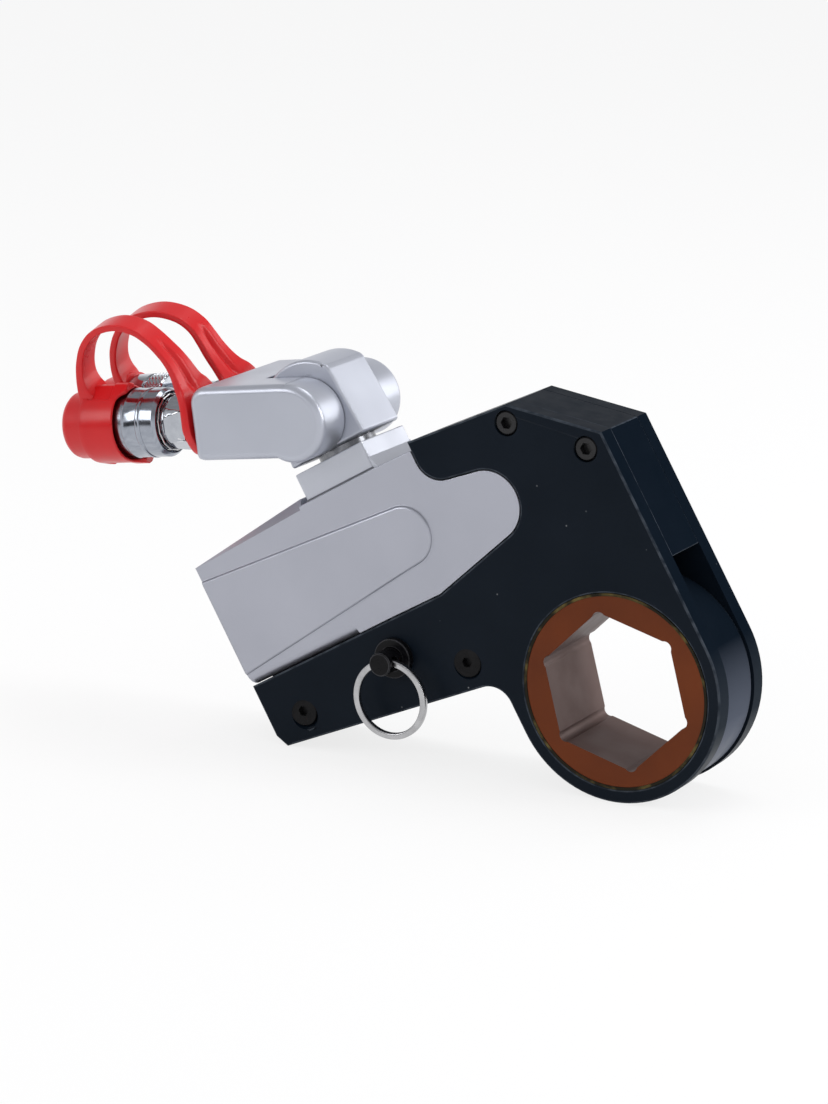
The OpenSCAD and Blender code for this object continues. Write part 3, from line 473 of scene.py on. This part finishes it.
def lathe(profile, matrix, turns=96, wobble=None, loop=False):
    """A closed surface of revolution about local Z. profile holds (z, r) from axis to axis, or round a
    ring's section where loop is set, and wobble(angle, z, r) may change both."""
    bm = bmesh.new()
    rings = []
    for z, r in profile:
        if r <= 0:
            rings.append([bm.verts.new((0, 0, z))])
            continue
        ring = []
        for i in range(turns):
            a = 2 * math.pi * i / turns
            high, radius = wobble(a, z, r) if wobble else (z, r)
            ring.append(bm.verts.new((radius * math.cos(a), radius * math.sin(a), high)))
        rings.append(ring)
    if loop:
        rings.append(rings[0])
    for low, high in zip(rings, rings[1:]):
        for i in range(turns):
            j = (i + 1) % turns
            corner = [low[i % len(low)], low[j % len(low)], high[j % len(high)], high[i % len(high)]]
            face = list(dict.fromkeys(corner))
            if len(face) > 2:
                bm.faces.new(face)
    bmesh.ops.recalc_face_normals(bm, faces=bm.faces)
    mesh = bpy.data.meshes.new("lathe")
    bm.to_mesh(mesh)
    bm.free()
    mesh.transform(matrix)
    return mesh


def coupler_matrix(side):
    """Local Z along the coupler, local X upwards, in metres from millimetres."""
    out, up = COUPLER_OUT, COUPLER_UP
    across = out.cross(up)
    turn = Matrix((up, across, out)).transposed().to_4x4()
    return Matrix.Translation(MM * (TILT_AXIS + Vector((0, side * COUPLER_Y, 0)))) @ turn @ Matrix.Scale(MM, 4)


# Link

CORNER_SCREWS = [(8.0, 100.6), (32.0, 80.2)]
TAIL_SCREWS = [(-49.4, 31.3), (-122.3, 40.8)]
SCREW_ROOM = 7.0


def plate_rim(e):
    """A plate's outer edges and its large bore, without the screw holes."""
    u, _, v = tool_place(e)
    return on_side(LINK_HALF)(e) and all(math.dist((u, v), hole) > SCREW_ROOM
                                         for hole in CORNER_SCREWS + TAIL_SCREWS)


soften("front_plate", "plate_black", (plate_rim, 0.7, 3))
soften("rear_plate", "plate_black", (plate_rim, 0.7, 3))
for node in ("top_spacer", "heel_spacer", "tail_spacer"):
    soften(node, "plate_black", (sharp, 0.3, 2))
soften("drive_lever", "steel", (sharp, 0.3, 2), finish="lever_black")
soften("ratchet_wheel", "ratchet_copper", (on_side(LINK_HALF + 0.2), 0.3, 2))
for node in ("front_bush", "rear_bush"):
    soften(node, "bush_bronze")


class Tree:
    """A geometry node tree under construction, with named inputs."""

    def __init__(self, name, **sizes):
        self.group = bpy.data.node_groups.new(name, "GeometryNodeTree")
        face = self.group.interface
        face.new_socket("Geometry", in_out="INPUT", socket_type="NodeSocketGeometry")
        face.new_socket("Geometry", in_out="OUTPUT", socket_type="NodeSocketGeometry")
        self.sizes = sizes
        self.keys = {}
        for size in sizes:
            kind = "NodeSocketMaterial" if size == "Finish" else "NodeSocketFloat"
            self.keys[size] = face.new_socket(size, in_out="INPUT", socket_type=kind).identifier
        self.given = self.group.nodes.new("NodeGroupInput").outputs

    def add(self, kind, inputs=(), **settings):
        node = self.group.nodes.new(kind)
        for key, value in settings.items():
            setattr(node, key, value)
        for key, value in dict(inputs).items():
            for source in value if isinstance(value, list) else [value]:
                if isinstance(source, bpy.types.NodeSocket):
                    self.group.links.new(source, node.inputs[key])
                else:
                    node.inputs[key].default_value = source
        return node.outputs

    def sum(self, operation, first, second):
        return self.add("ShaderNodeMath", {0: first, 1: second}, operation=operation)[0]

    def use(self, piece):
        """Runs the tree on a piece and leaves plain mesh."""
        modifier = piece.modifiers.new(self.group.name, "NODES")
        modifier.node_group = self.group
        for size, value in self.sizes.items():
            modifier[self.keys[size]] = value
        return baked(piece)

    def finish(self, geometry):
        """Ends the tree: instances made real, one finish all over."""
        real = self.add("GeometryNodeRealizeInstances", {0: geometry})[0]
        done = self.add("GeometryNodeSetMaterial", {"Geometry": real, "Material": self.given["Finish"]})[0]
        self.add("NodeGroupOutput")
        self.group.links.new(done, self.group.nodes[-1].inputs[0])


def screw_tree(name, head, foot, height, edge, socket, depth, shank, length):
    """One tree for both kinds of screw: a turned head, a hexagon socket and a shank, on every point."""
    tree = Tree(name, **{"Head radius": head * MM, "Foot radius": foot * MM, "Head height": height * MM,
                         "Edge": edge * MM, "Socket radius": socket * MM, "Socket depth": depth * MM,
                         "Shank radius": shank * MM, "Shank length": length * MM,
                         "Finish": FINISHES["screw_black"]})
    given = tree.given

    def turned(sides, top, bottom, tall, start):
        cone = tree.add("GeometryNodeMeshCone", {"Vertices": sides, "Radius Top": top, "Radius Bottom": bottom,
                                                 "Depth": tall})[0]
        lift = tree.add("ShaderNodeCombineXYZ", {"Z": start})[0]
        return tree.add("GeometryNodeTransform", {"Geometry": cone, "Translation": lift})[0]

    straight = tree.sum("SUBTRACT", given["Head height"], given["Edge"])
    block = turned(48, given["Head radius"], given["Foot radius"], straight, 0.0)
    rim = turned(48, tree.sum("SUBTRACT", given["Head radius"], given["Edge"]), given["Head radius"],
                 given["Edge"], straight)
    socket_low = tree.sum("SUBTRACT", given["Head height"], given["Socket depth"])
    hollow = turned(6, given["Socket radius"], given["Socket radius"], given["Head height"], socket_low)
    solid = tree.add("GeometryNodeMeshBoolean", {"Mesh 2": [block, rim]}, operation="UNION")[0]
    cut = tree.add("GeometryNodeMeshBoolean", {"Mesh 1": solid, "Mesh 2": hollow}, operation="DIFFERENCE")[0]
    back = tree.sum("MULTIPLY", given["Shank length"], -1.0)
    stem = turned(24, given["Shank radius"], given["Shank radius"], given["Shank length"], back)
    screw = tree.add("GeometryNodeJoinGeometry", {0: [cut, stem]})[0]
    facing = tree.add("GeometryNodeInputNamedAttribute", {"Name": "facing"}, data_type="FLOAT_VECTOR")[0]
    turn = tree.add("FunctionNodeAlignRotationToVector", {"Vector": facing}, axis="Z")[0]
    tree.finish(tree.add("GeometryNodeInstanceOnPoints", {"Points": given["Geometry"], "Instance": screw,
                                                          "Rotation": turn})[0])
    return tree


def screw_set(node, places, sunk, finish, tree):
    """The screws of both plates: places holds (u, v), and each head's top lies sunk below the face."""
    height = tree.sizes["Head height"] / MM
    spots, ways = [], []
    for side in (-1, 1):
        for u, v in places:
            spots.append(tool_point(u, side * (LINK_HALF - sunk - height), v))
            ways += [0.0, float(side), 0.0]
    mesh = bpy.data.meshes.new(node)
    mesh.from_pydata(spots, [], [])
    mesh.attributes.new("facing", "FLOAT_VECTOR", "POINT").data.foreach_set("vector", ways)
    piece = tree.use(new_piece(node + "_finished", mesh))
    shade(piece.data)
    dress(piece, "link", "screw_black", node, finish=finish)


screw_set("corner_screws", CORNER_SCREWS, 0.4, "screw_black",
          screw_tree("socket_screw", 4.25, 4.25, 4.6, 0.45, 2.3, 2.6, 2.6, 9.4))
screw_set("tail_screws", TAIL_SCREWS, 0.1, "disc_black",
          screw_tree("countersunk_screw", 5.5, 2.6, 3.2, 0.25, 2.0, 2.0, 2.6, 10.8))

# Power head

HEAD_SQUARE = -85.017
HEAD_CHAMFER_V = 103.5
NECK_U = -66.5
FLANGE_HALF = 16.0
FOOT_HALF = 15.3
FOOT_SECTION = [(-50.7, 112.8), (-50.7, 107.9), (-48.65, 107.9)]


def head_edges(e):
    """The head's edges but those where its long roundings and chamfers run out."""
    u, y, v = tool_place(e)
    return sharp(e) and not (abs(y) > 11 and (HEAD_SQUARE - 8.5 < u < HEAD_SQUARE + 0.3
                                              or u < HEAD_SQUARE and v > HEAD_CHAMFER_V))


def flange_corner(e):
    """The flange's upright corners."""
    way = e.verts[1].co - e.verts[0].co
    u, y, _ = tool_place(e)
    upright = abs(way.normalized().y) < 0.1 and abs(y) > 15
    return sharp(e) and upright and abs(abs(u - NECK_U) - FLANGE_HALF) < 0.1


def flange_foot(piece):
    """The sloped foot where the flange meets the head on the link's side."""
    bm = bmesh.new()
    bm.from_mesh(piece.data)
    near, far = ([bm.verts.new(tool_point(u, y, v)) for u, v in FOOT_SECTION] for y in (-FOOT_HALF, FOOT_HALF))
    bm.faces.new(near)
    bm.faces.new(far[::-1])
    for a, b in ((0, 1), (1, 2), (2, 0)):
        bm.faces.new((near[a], far[a], far[b], near[b]))
    bm.to_mesh(piece.data)
    bm.free()
    shade(piece.data)


soften("cylinder_body", "head_silver", (on_side(LINK_HALF + 1), 0.95, 3), (head_edges, 0.4, 2))
flange_foot(soften("neck_flange", "head_silver", (flange_corner, 1.2, 4), (sharp, 0.4, 2),
                   finish="flange_silver"))
soften("neck_gasket", "seal_black", finish="gasket_grey")

# Swivel

YOKE_HALF = 29.3
KNUCKLE_HALF = 13.0


def yoke_rim(e):
    """The outer edges of the yoke's sides, without the bores round the tilt axis."""
    middle = (e.verts[0].co + e.verts[1].co) / 2
    away = (middle - MM * TILT_AXIS).xz.length
    return on_side(YOKE_HALF)(e) and away > 10 * MM


def yoke_rest(e):
    """The yoke's edges between its sides."""
    middle = (e.verts[0].co + e.verts[1].co) / 2
    return sharp(e, 40) and abs(middle.y) < 26 * MM


soften("manifold_yoke", "swivel_silver", (yoke_rim, 3.0, 5), (yoke_rest, 0.5, 2))
soften("knuckle", "swivel_silver", (on_side(KNUCKLE_HALF), 1.4, 4))
soften("swivel_post", "steel", (sharp, 0.3, 2), finish="post_steel")
soften("tilt_plug", "steel", (sharp, 0.3, 2))

# Lock pin

soften("lock_pin", "screw_black", (sharp, 0.15, 2), finish="pin_black")
soften("lock_collar", "screw_black", (sharp, 0.4, 2), finish="pin_black")

RING_HANGER = tool_point(-75.5, -26.0, 44.0)
RING_SLANT = math.radians(9.6)
RING_DROP = 13.6
RING_MIDDLE = RING_HANGER + MM * RING_DROP * Vector((math.sin(RING_SLANT), 0.0, -math.cos(RING_SLANT)))


def flat_ring_section(inner, outer, half):
    """(z, r) round a flat ring's section with rounded corners."""
    section = []
    for step in range(32):
        a = 2 * math.pi * step / 32
        z, r = (math.copysign(abs(c) ** 0.5, c) for c in (math.cos(a), math.sin(a)))
        section.append((half * z, (inner + outer) / 2 + (outer - inner) / 2 * r))
    return section


def pull_ring():
    turn = Matrix(((1, 0, 0), (0, 0, -1), (0, 1, 0))).to_4x4()
    place = Matrix.Translation(RING_MIDDLE) @ turn @ Matrix.Scale(MM, 4)
    mesh = lathe(flat_ring_section(12.45, 14.8, 1.2), place, turns=160, loop=True)
    shade(mesh)
    dress(new_piece("pull_ring_finished", mesh), "pull_ring", "steel", "pull_ring", finish="ring_steel")


pull_ring()

# Couplers

soften("near_coupler_body", "coupler_chrome", (sharp, 0.3, 2))
soften("far_coupler_body", "coupler_chrome", (sharp, 0.3, 2))

SLEEVE = [(58.0, 11.4), (58.15, 11.75), (59.1, 12.55), (59.4, 12.72), (59.8, 12.75), (64.3, 12.75), (64.55, 12.6),
          (64.8, 12.6), (65.05, 12.9), (65.4, 13.0), (66.0, 13.0), (66.35, 12.9), (66.6, 12.75), (67.2, 12.75),
          (71.2, 12.75), (71.6, 12.9), (72.0, 13.0), (72.4, 12.9), (72.6, 12.7), (73.0, 12.6), (77.4, 12.6),
          (77.9, 12.4), (78.0, 12.2), (78.0, 9.65), (64.1, 9.65), (64.0, 11.3), (58.2, 11.3)]


def near_sleeve():
    mesh = lathe(SLEEVE, coupler_matrix(NEAR), loop=True)
    shade(mesh, 24)
    # The sleeve takes the darker copy of the chrome, painted shade for its dark reflections.
    dress(new_piece("near_sleeve_finished", mesh), "near_sleeve", "coupler_chrome", "near_sleeve",
          finish="sleeve_chrome")


near_sleeve()


def knurl_tree():
    """A diamond knurl rolled on a collar: two crossing sets of ridges on a tube of Radius and Length."""
    tree = Tree("knurled_collar", **{"Radius": 12.9 * MM, "Length": 8.5 * MM, "Depth": 0.4 * MM, "Ridges": 44.0,
                                     "Slant": 6.0, "Border": 0.12, "Finish": FINISHES["coupler_chrome"]})
    given = tree.given
    grid = tree.add("GeometryNodeMeshGrid", {"Size X": 1.0, "Size Y": 1.0, "Vertices X": 265, "Vertices Y": 37})[0]
    at = tree.add("ShaderNodeSeparateXYZ", {0: tree.add("GeometryNodeInputPosition")[0]})
    around, along = at[0], at[1]
    ridges = []
    for way in ("ADD", "SUBTRACT"):
        count = tree.sum("MULTIPLY", around, given["Ridges"])
        lean = tree.sum("MULTIPLY", along, given["Slant"])
        wave = tree.sum("PINGPONG", tree.sum(way, count, lean), 0.5)
        ridges.append(tree.sum("MULTIPLY", wave, 2.0))
    height = tree.sum("MINIMUM", ridges[0], ridges[1])
    edge = tree.sum("SUBTRACT", 0.5, tree.sum("ABSOLUTE", along, 0.0))
    border = tree.sum("MINIMUM", tree.sum("DIVIDE", edge, given["Border"]), 1.0)
    rise = tree.sum("MULTIPLY", tree.sum("MULTIPLY", height, given["Depth"]), border)
    fall = tree.sum("MULTIPLY", tree.sum("SUBTRACT", border, 1.0), given["Depth"])
    radius = tree.sum("ADD", given["Radius"], tree.sum("ADD", rise, fall))
    angle = tree.sum("MULTIPLY", around, 2 * math.pi)
    spot = tree.add("ShaderNodeCombineXYZ", {
        "X": tree.sum("MULTIPLY", radius, tree.sum("COSINE", angle, 0.0)),
        "Y": tree.sum("MULTIPLY", radius, tree.sum("SINE", angle, 0.0)),
        "Z": tree.sum("MULTIPLY", tree.sum("ADD", along, 0.5), given["Length"])})[0]
    tube = tree.add("GeometryNodeSetPosition", {"Geometry": grid, "Position": spot})[0]
    tree.finish(tree.add("GeometryNodeMergeByDistance", {"Geometry": tube, "Distance": 0.001 * MM})[0])
    return tree


def far_collar():
    """The knurled screw collar of the far coupler, closed by flat ends and its bore, with a polished front."""
    start, bore = 76.0, 8.1
    front = lathe([(84.5, 12.8), (84.8, 13.15), (91.2, 13.15), (91.6, 12.8), (91.6, 10.6), (84.5, 10.6)],
                  coupler_matrix(FAR), loop=True)
    piece = knurl_tree().use(new_piece("far_collar_finished", bpy.data.meshes.new("knurl")))
    mesh = piece.data
    bm = bmesh.new()
    bm.from_mesh(mesh)
    rim = [e for e in bm.edges if e.is_boundary]
    made = bmesh.ops.extrude_edge_only(bm, edges=rim)["geom"]
    for v in made:
        if isinstance(v, bmesh.types.BMVert):
            v.co.xy = v.co.xy.normalized() * bore * MM
    bmesh.ops.bridge_loops(bm, edges=[e for e in bm.edges if e.is_boundary])
    bmesh.ops.recalc_face_normals(bm, faces=bm.faces)
    bm.transform(coupler_matrix(FAR) @ Matrix.Translation((0, 0, start)) @ Matrix.Scale(1 / MM, 4))
    bm.from_mesh(front)
    bm.to_mesh(mesh)
    bm.free()
    shade(mesh, 24)
    dress(piece, "far_collar", "coupler_chrome", "far_collar")


far_collar()
STRAP_ROLL = math.radians(14)


def tabbed(body, corner, blunt):
    """Radius of a round body with a wedge-shaped finger tab above and below, whose sides run off the body."""
    half = math.acos(body / corner)

    def radius(angle):
        off = abs((angle + math.pi / 2) % math.pi - math.pi / 2)
        return min(body / math.cos(half - off), blunt) if off < half else body
    return radius


def dust_cap(side, rim, reach, step, end, bore, floor, sizes, body, node):
    """A moulded cap: a rim, a grip with finger tabs that reach past the rim and a plain round nose. sizes holds
    the radii of the grip, of its tabs and of the nose."""
    grip, tab, nose = sizes
    lip = min(2.55, (step - rim) / 2 - 0.6)
    outline = tabbed(grip, tab, tab - 0.5)

    def wobble(angle, z, r):
        around = outline(angle + STRAP_ROLL)
        if z < rim + 0.6:
            z -= reach * min((around - grip) / 0.8, 1.0)
        if r < grip - 0.6:
            return z, r
        waist = min(max((z - rim - lip) / 0.5, 0), max((step - lip - z) / 0.5, 0), 1.0)
        return z, around * r / grip - 0.45 * waist * (around > grip + 0.05)

    outside = [(rim, grip - 0.5), (rim + 0.2, grip - 0.15), (rim + 0.5, grip), (rim + lip, grip),
               (rim + lip + 0.55, grip), (step - lip - 0.55, grip), (step - lip, grip), (step - 0.7, grip),
               (step - 0.25, grip - 0.15), (step, grip - 0.5), (step + 0.1, nose + 0.75), (step + 0.35, nose + 0.3),
               (step + 0.9, nose + 0.1), (end - 3.0, nose), (end - 1.7, nose - 0.4), (end - 0.75, nose - 1.2),
               (end - 0.2, nose - 2.3), (end, nose - 3.6), (end + 0.02, 4.0), (end + 0.02, 0.0)]
    inside = [(floor, 0.0), (floor, bore), (rim + 0.5, bore), (rim + 0.1, bore + 0.3)]
    mesh = lathe(inside + outside, coupler_matrix(side), turns=192, wobble=wobble)
    shade(mesh, 24)
    dress(new_piece(node + "_finished", mesh), body, "cap_red", node)


dust_cap(NEAR, 75.6, 3.2, 90.8, 100.4, 13.3, 78.3, (14.3, 16.6, 12.5), "near_cap", "near_cap")
dust_cap(FAR, 92.2, 0.0, 97.4, 106.2, 10.7, 93.2, (14.0, 15.4, 12.5), "far_cap", "far_cap")

# Strap: rows from its foot on the cap over the arch to the ring round the coupler's neck. A row holds (p, q, r)
# of the middle edge and the outer edge of one half, the thickness and the depth of the groove along the middle.
STRAP = [((89.0, 6.0, 0.0), (89.0, 6.0, 6.4), 6.6, 0.0), ((89.0, 9.5, 0.0), (89.0, 9.5, 6.4), 6.6, 0.0),
         ((89.2, 12.8, 0.0), (89.2, 12.8, 6.0), 6.4, 0.3), ((90.0, 16.4, 0.0), (90.0, 16.4, 5.5), 4.4, 0.9),
         ((90.0, 20.8, 0.0), (90.0, 20.8, 5.0), 3.1, 0.7), ((88.4, 26.6, 0.0), (88.4, 26.6, 4.9), 2.6, 0.0),
         ((84.6, 33.2, 0.0), (84.6, 33.2, 4.9), 2.5, 0.0), ((78.2, 38.2, 0.0), (78.2, 38.2, 4.9), 2.5, 0.0),
         ((69.2, 40.0, 0.0), (69.2, 40.0, 4.9), 2.5, 0.0), ((61.2, 37.8, 0.0), (61.2, 37.8, 4.9), 2.5, 0.0),
         ((56.2, 33.4, 0.0), (56.2, 33.4, 5.0), 2.5, 0.0), ((53.3, 28.0, 0.0), (53.3, 28.0, 5.4), 2.5, 1.5),
         ((51.2, 22.8, 0.0), (51.2, 22.8, 6.0), 2.6, 1.7), ((49.2, 18.2, 0.0), (49.2, 18.4, 6.8), 2.8, 1.6),
         ((47.4, 14.4, 0.0), (47.5, 15.2, 7.8), 3.0, 1.4), ((45.6, 11.2, 0.0), (45.8, 12.8, 9.2), 3.2, 0.4),
         ((44.6, 7.7, 0.0), (44.8, 9.8, 10.6), 3.4, 0.0), ((44.3, 5.4, 5.4), (44.4, 5.4, 12.1), 3.4, 0.0),
         ((44.2, 0.0, 7.7), (44.2, 0.0, 13.0), 3.4, 0.0), ((44.2, -5.4, 5.4), (44.2, -9.2, 9.2), 3.4, 0.0),
         ((44.2, -7.7, 0.0), (44.2, -13.0, 0.0), 3.4, 0.0)]
RING_ROW = 16
ACROSS = (0.0, 0.11, 0.24, 0.6, 0.9, 1.0)
GROOVE_SHARE = 0.2
ROW_STEPS = 5
MIDDLE_SEAM = 0.12 * MM


def through(points, steps):
    """Rows on a smooth curve through all points, with steps rows from one point to the next."""
    ends = [2 * points[0] - points[1], *points, 2 * points[-1] - points[-2]]
    rows = []
    for a, b, c, d in zip(ends, ends[1:], ends[2:], ends[3:]):
        for step in range(steps):
            t = step / steps
            rows.append(0.5 * (2 * b + (c - a) * t + (2 * a - 5 * b + 4 * c - d) * t ** 2
                               + (3 * b - a - 3 * c + d) * t ** 3))
    return rows + [points[-1]]


def add_half(bm, rows, parted):
    """Faces round one half of a band: rows of (outer, inner) points from its middle edge to its outer edge."""
    made = [[(bm.verts.new(outer), bm.verts.new(inner)) for outer, inner in row] for row in rows]
    for a, b, apart in zip(made, made[1:], parted):
        for k in range(len(a) - 1):
            bm.faces.new((a[k][0], a[k + 1][0], b[k + 1][0], b[k][0]))
            bm.faces.new((a[k][1], b[k][1], b[k + 1][1], a[k + 1][1]))
        for k in (0, -1) if apart else (-1,):
            bm.faces.new((a[k][0], b[k][0], b[k][1], a[k][1]))
    first = made[0]
    for k in range(len(first) - 1):
        bm.faces.new((first[k][0], first[k + 1][0], first[k + 1][1], first[k][1]))


def strap(side, shift, lean, foot, node):
    """A flat moulded strap from the cap over an arch to a ring on the coupler's neck, rolled a little about
    the coupler as it lies. shift lengthens its reach to a cap that sits further out, lean bows out the leg above
    the ring, and foot is the share of its thickness that is left where it meets the cap."""
    def spot(p, q, r):
        bow = lean * math.cos(min(abs(q - 23) / 13, 1.0) * math.pi / 2) ** 2 * (p < 65)
        along = p + bow + shift * min(max((p - 50) / 40, 0), 1)
        return coupler_point(side, along, q * math.cos(STRAP_ROLL) + r * math.sin(STRAP_ROLL),
                             r * math.cos(STRAP_ROLL) - q * math.sin(STRAP_ROLL))

    curve = through([Vector((*inner, *outer, thick, groove)) for inner, outer, thick, groove in STRAP], ROW_STEPS)
    parted = [k >= RING_ROW * ROW_STEPS for k in range(len(curve) - 1)]
    bm = bmesh.new()
    for mirror in (1, -1):
        rows = []
        for k, row in enumerate(curve):
            inner, outer = Vector(row[:3]), Vector(row[3:6])
            before, after = curve[max(k - 1, 0)], curve[min(k + 1, len(curve) - 1)]
            thick = row[6] * (foot + (1 - foot) * min(max(k / ROW_STEPS / 3 - 0.7, 0), 1))
            along = Vector(after[:3]) + Vector(after[3:6]) - Vector(before[:3]) - Vector(before[3:6])
            normal = along.cross(outer - inner).normalized()
            points = []
            for a in ACROSS:
                at = inner.lerp(outer, a)
                lift = normal.copy()
                if abs(at.z) < 0.02:
                    lift.z, at.z = 0.0, 0.0
                lift.normalize()
                at.z, lift.z = mirror * at.z, mirror * lift.z
                top = thick / 2 - (max(row[7], 0) if a < GROOVE_SHARE else 0)
                points.append((spot(*(at + lift * top)), spot(*(at - lift * thick / 2))))
            rows.append(points)
        add_half(bm, rows, parted)
    bmesh.ops.remove_doubles(bm, verts=bm.verts, dist=MIDDLE_SEAM)
    bmesh.ops.recalc_face_normals(bm, faces=bm.faces)
    mesh = bpy.data.meshes.new(node)
    bm.to_mesh(mesh)
    bm.free()
    piece = new_piece(node + "_finished", mesh)
    smooth = piece.modifiers.new("moulded", "SUBSURF")
    smooth.levels = smooth.render_levels = 2
    baked(piece)
    shade(piece.data, 60)
    piece.data.materials.append(FINISHES["cap_red"])
    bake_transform(piece)
    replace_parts(piece, node)


strap(NEAR, 0.0, -2.2, 1.0, "near_strap")
strap(FAR, 5.3, 0.8, 0.6, "far_strap")

# Inner pieces keep their solids and take the finish of their slot
shown = {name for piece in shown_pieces() for name in piece.get("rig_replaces", [])}
for name, node in nodes.items():
    if name not in shown:
        node.data.materials.clear()
        node.data.materials.append(FINISHES[SLOT_OF.get(name, "steel")])


# Studio


def floor_finish():
    """A pale floor that a camera sees nearly white and that keeps the shadow."""
    material = bpy.data.materials.new("studio_floor")
    material.use_nodes = True
    tree = material.node_tree
    shader = tree.nodes["Principled BSDF"]
    shader.inputs["Base Color"].default_value = (0.92, 0.92, 0.92, 1)
    shader.inputs["Roughness"].default_value = 0.9
    shader.inputs["Specular IOR Level"].default_value = 0.0
    glow = tree.nodes.new("ShaderNodeEmission")
    path = tree.nodes.new("ShaderNodeLightPath")
    share = tree.nodes.new("ShaderNodeMath")
    share.operation = "MULTIPLY"
    share.inputs[1].default_value = 0.8
    blend = tree.nodes.new("ShaderNodeMixShader")
    seen = path.outputs["Is Camera Ray"]
    for kind in ("Is Glossy Ray", "Is Transmission Ray"):
        either = tree.nodes.new("ShaderNodeMath")
        either.operation = "MAXIMUM"
        tree.links.new(seen, either.inputs[0])
        tree.links.new(path.outputs[kind], either.inputs[1])
        seen = either.outputs[0]
    tree.links.new(seen, share.inputs[0])
    tree.links.new(share.outputs[0], blend.inputs[0])
    tree.links.new(shader.outputs[0], blend.inputs[1])
    tree.links.new(glow.outputs[0], blend.inputs[2])
    tree.links.new(blend.outputs[0], tree.nodes["Material Output"].inputs["Surface"])
    return material


def lay_floor():
    mesh = bpy.data.meshes.new("floor")
    half, low = 3.0, cad_box[0][2]
    mesh.from_pydata([(-half, -half, low), (half, -half, low), (half, half, low), (-half, half, low)], [],
                     [(0, 1, 2, 3)])
    floor = new_piece("floor", mesh)
    mesh.materials.append(floor_finish())


def set_world():
    """White where the camera looks. Metal shows that white round the horizon and a darker ceiling, and the
    object is lit softly from above."""
    world = bpy.data.worlds.new("studio")
    scene.world = world
    world.use_nodes = True
    tree = world.node_tree

    def add(kind, **settings):
        node = tree.nodes.new(kind)
        for key, value in settings.items():
            setattr(node, key, value)
        return node

    height = add("ShaderNodeMapRange")
    height.inputs["From Min"].default_value = -1.0
    split = add("ShaderNodeSeparateXYZ")
    tree.links.new(add("ShaderNodeTexCoord").outputs["Generated"], split.inputs[0])
    tree.links.new(split.outputs["Z"], height.inputs["Value"])

    def ramp(*stops):
        node = add("ShaderNodeValToRGB")
        tree.links.new(height.outputs["Result"], node.inputs["Fac"])
        elements = node.color_ramp.elements
        while len(elements) < len(stops):
            elements.new(0.5)
        for element, (place, grey) in zip(elements, stops):
            element.position, element.color = place, (grey, grey, grey * 1.02, 1)
        return node.outputs["Color"]

    def choose(share, first, second):
        node = add("ShaderNodeMix", data_type="RGBA")
        tree.links.new(share, node.inputs["Factor"])
        tree.links.new(first, node.inputs[6])
        if isinstance(second, tuple):
            node.inputs[7].default_value = second
        else:
            tree.links.new(second, node.inputs[7])
        return node.outputs[2]

    path = add("ShaderNodeLightPath")
    soft = ramp((0.0, 0.20), (0.5, 0.38), (1.0, 0.80))
    mirrored = ramp((0.0, 1.0), (0.62, 1.0), (0.80, 0.34), (1.0, 0.50))
    seen = add("ShaderNodeMath", operation="MAXIMUM")
    tree.links.new(path.outputs["Is Camera Ray"], seen.inputs[0])
    tree.links.new(path.outputs["Is Transmission Ray"], seen.inputs[1])
    shown = choose(seen.outputs[0], choose(path.outputs["Is Glossy Ray"], soft, mirrored), (1, 1, 1, 1))
    tree.links.new(shown, tree.nodes["Background"].inputs["Color"])


def hang_lamp(name, place, target, size, power):
    """A soft rectangular lamp that looks at target."""
    data = bpy.data.lights.new(name, "AREA")
    data.shape = "RECTANGLE"
    data.size, data.size_y = size
    data.energy = power
    lamp = bpy.data.objects.new(name, data)
    scene.collection.objects.link(lamp)
    lamp.location = place
    lamp.rotation_euler = (Vector(target) - lamp.location).to_track_quat("-Z", "Y").to_euler()


def stand_screen(name, middle, target, size, grey):
    """A dull upright screen out of the picture, for polished metal to reflect."""
    half_w, half_h = size[0] / 2, size[1] / 2
    mesh = bpy.data.meshes.new(name)
    mesh.from_pydata([(-half_w, -half_h, 0), (half_w, -half_h, 0), (half_w, half_h, 0), (-half_w, half_h, 0)], [],
                     [(0, 1, 2, 3)])
    way = (Vector(target) - Vector(middle)).to_track_quat("Z", "Y").to_matrix().to_4x4()
    mesh.transform(Matrix.Translation(middle) @ way)
    material = bpy.data.materials.new(name)
    material.use_nodes = True
    shader = material.node_tree.nodes["Principled BSDF"]
    shader.inputs["Base Color"].default_value = (grey, grey, grey * 1.1, 1)
    shader.inputs["Roughness"].default_value = 0.9
    mesh.materials.append(material)
    new_piece(name, mesh)


MIDDLE = (-0.09, 0.0, 0.04)
lay_floor()
stand_screen("dark_screen", (-0.85, -1.15, 0.17), MIDDLE, (1.1, 0.34), 0.04)
set_world()
hang_lamp("key", (-1.1, -1.1, 0.7), MIDDLE, (0.8, 0.6), 5)
hang_lamp("side", (1.3, 0.2, 0.6), MIDDLE, (0.4, 0.9), 9)
hang_lamp("top", (0.1, 0.4, 1.5), MIDDLE, (0.9, 0.6), 5)
hang_lamp("back", (0.6, 1.1, 0.36), MIDDLE, (0.5, 0.7), 2.4)
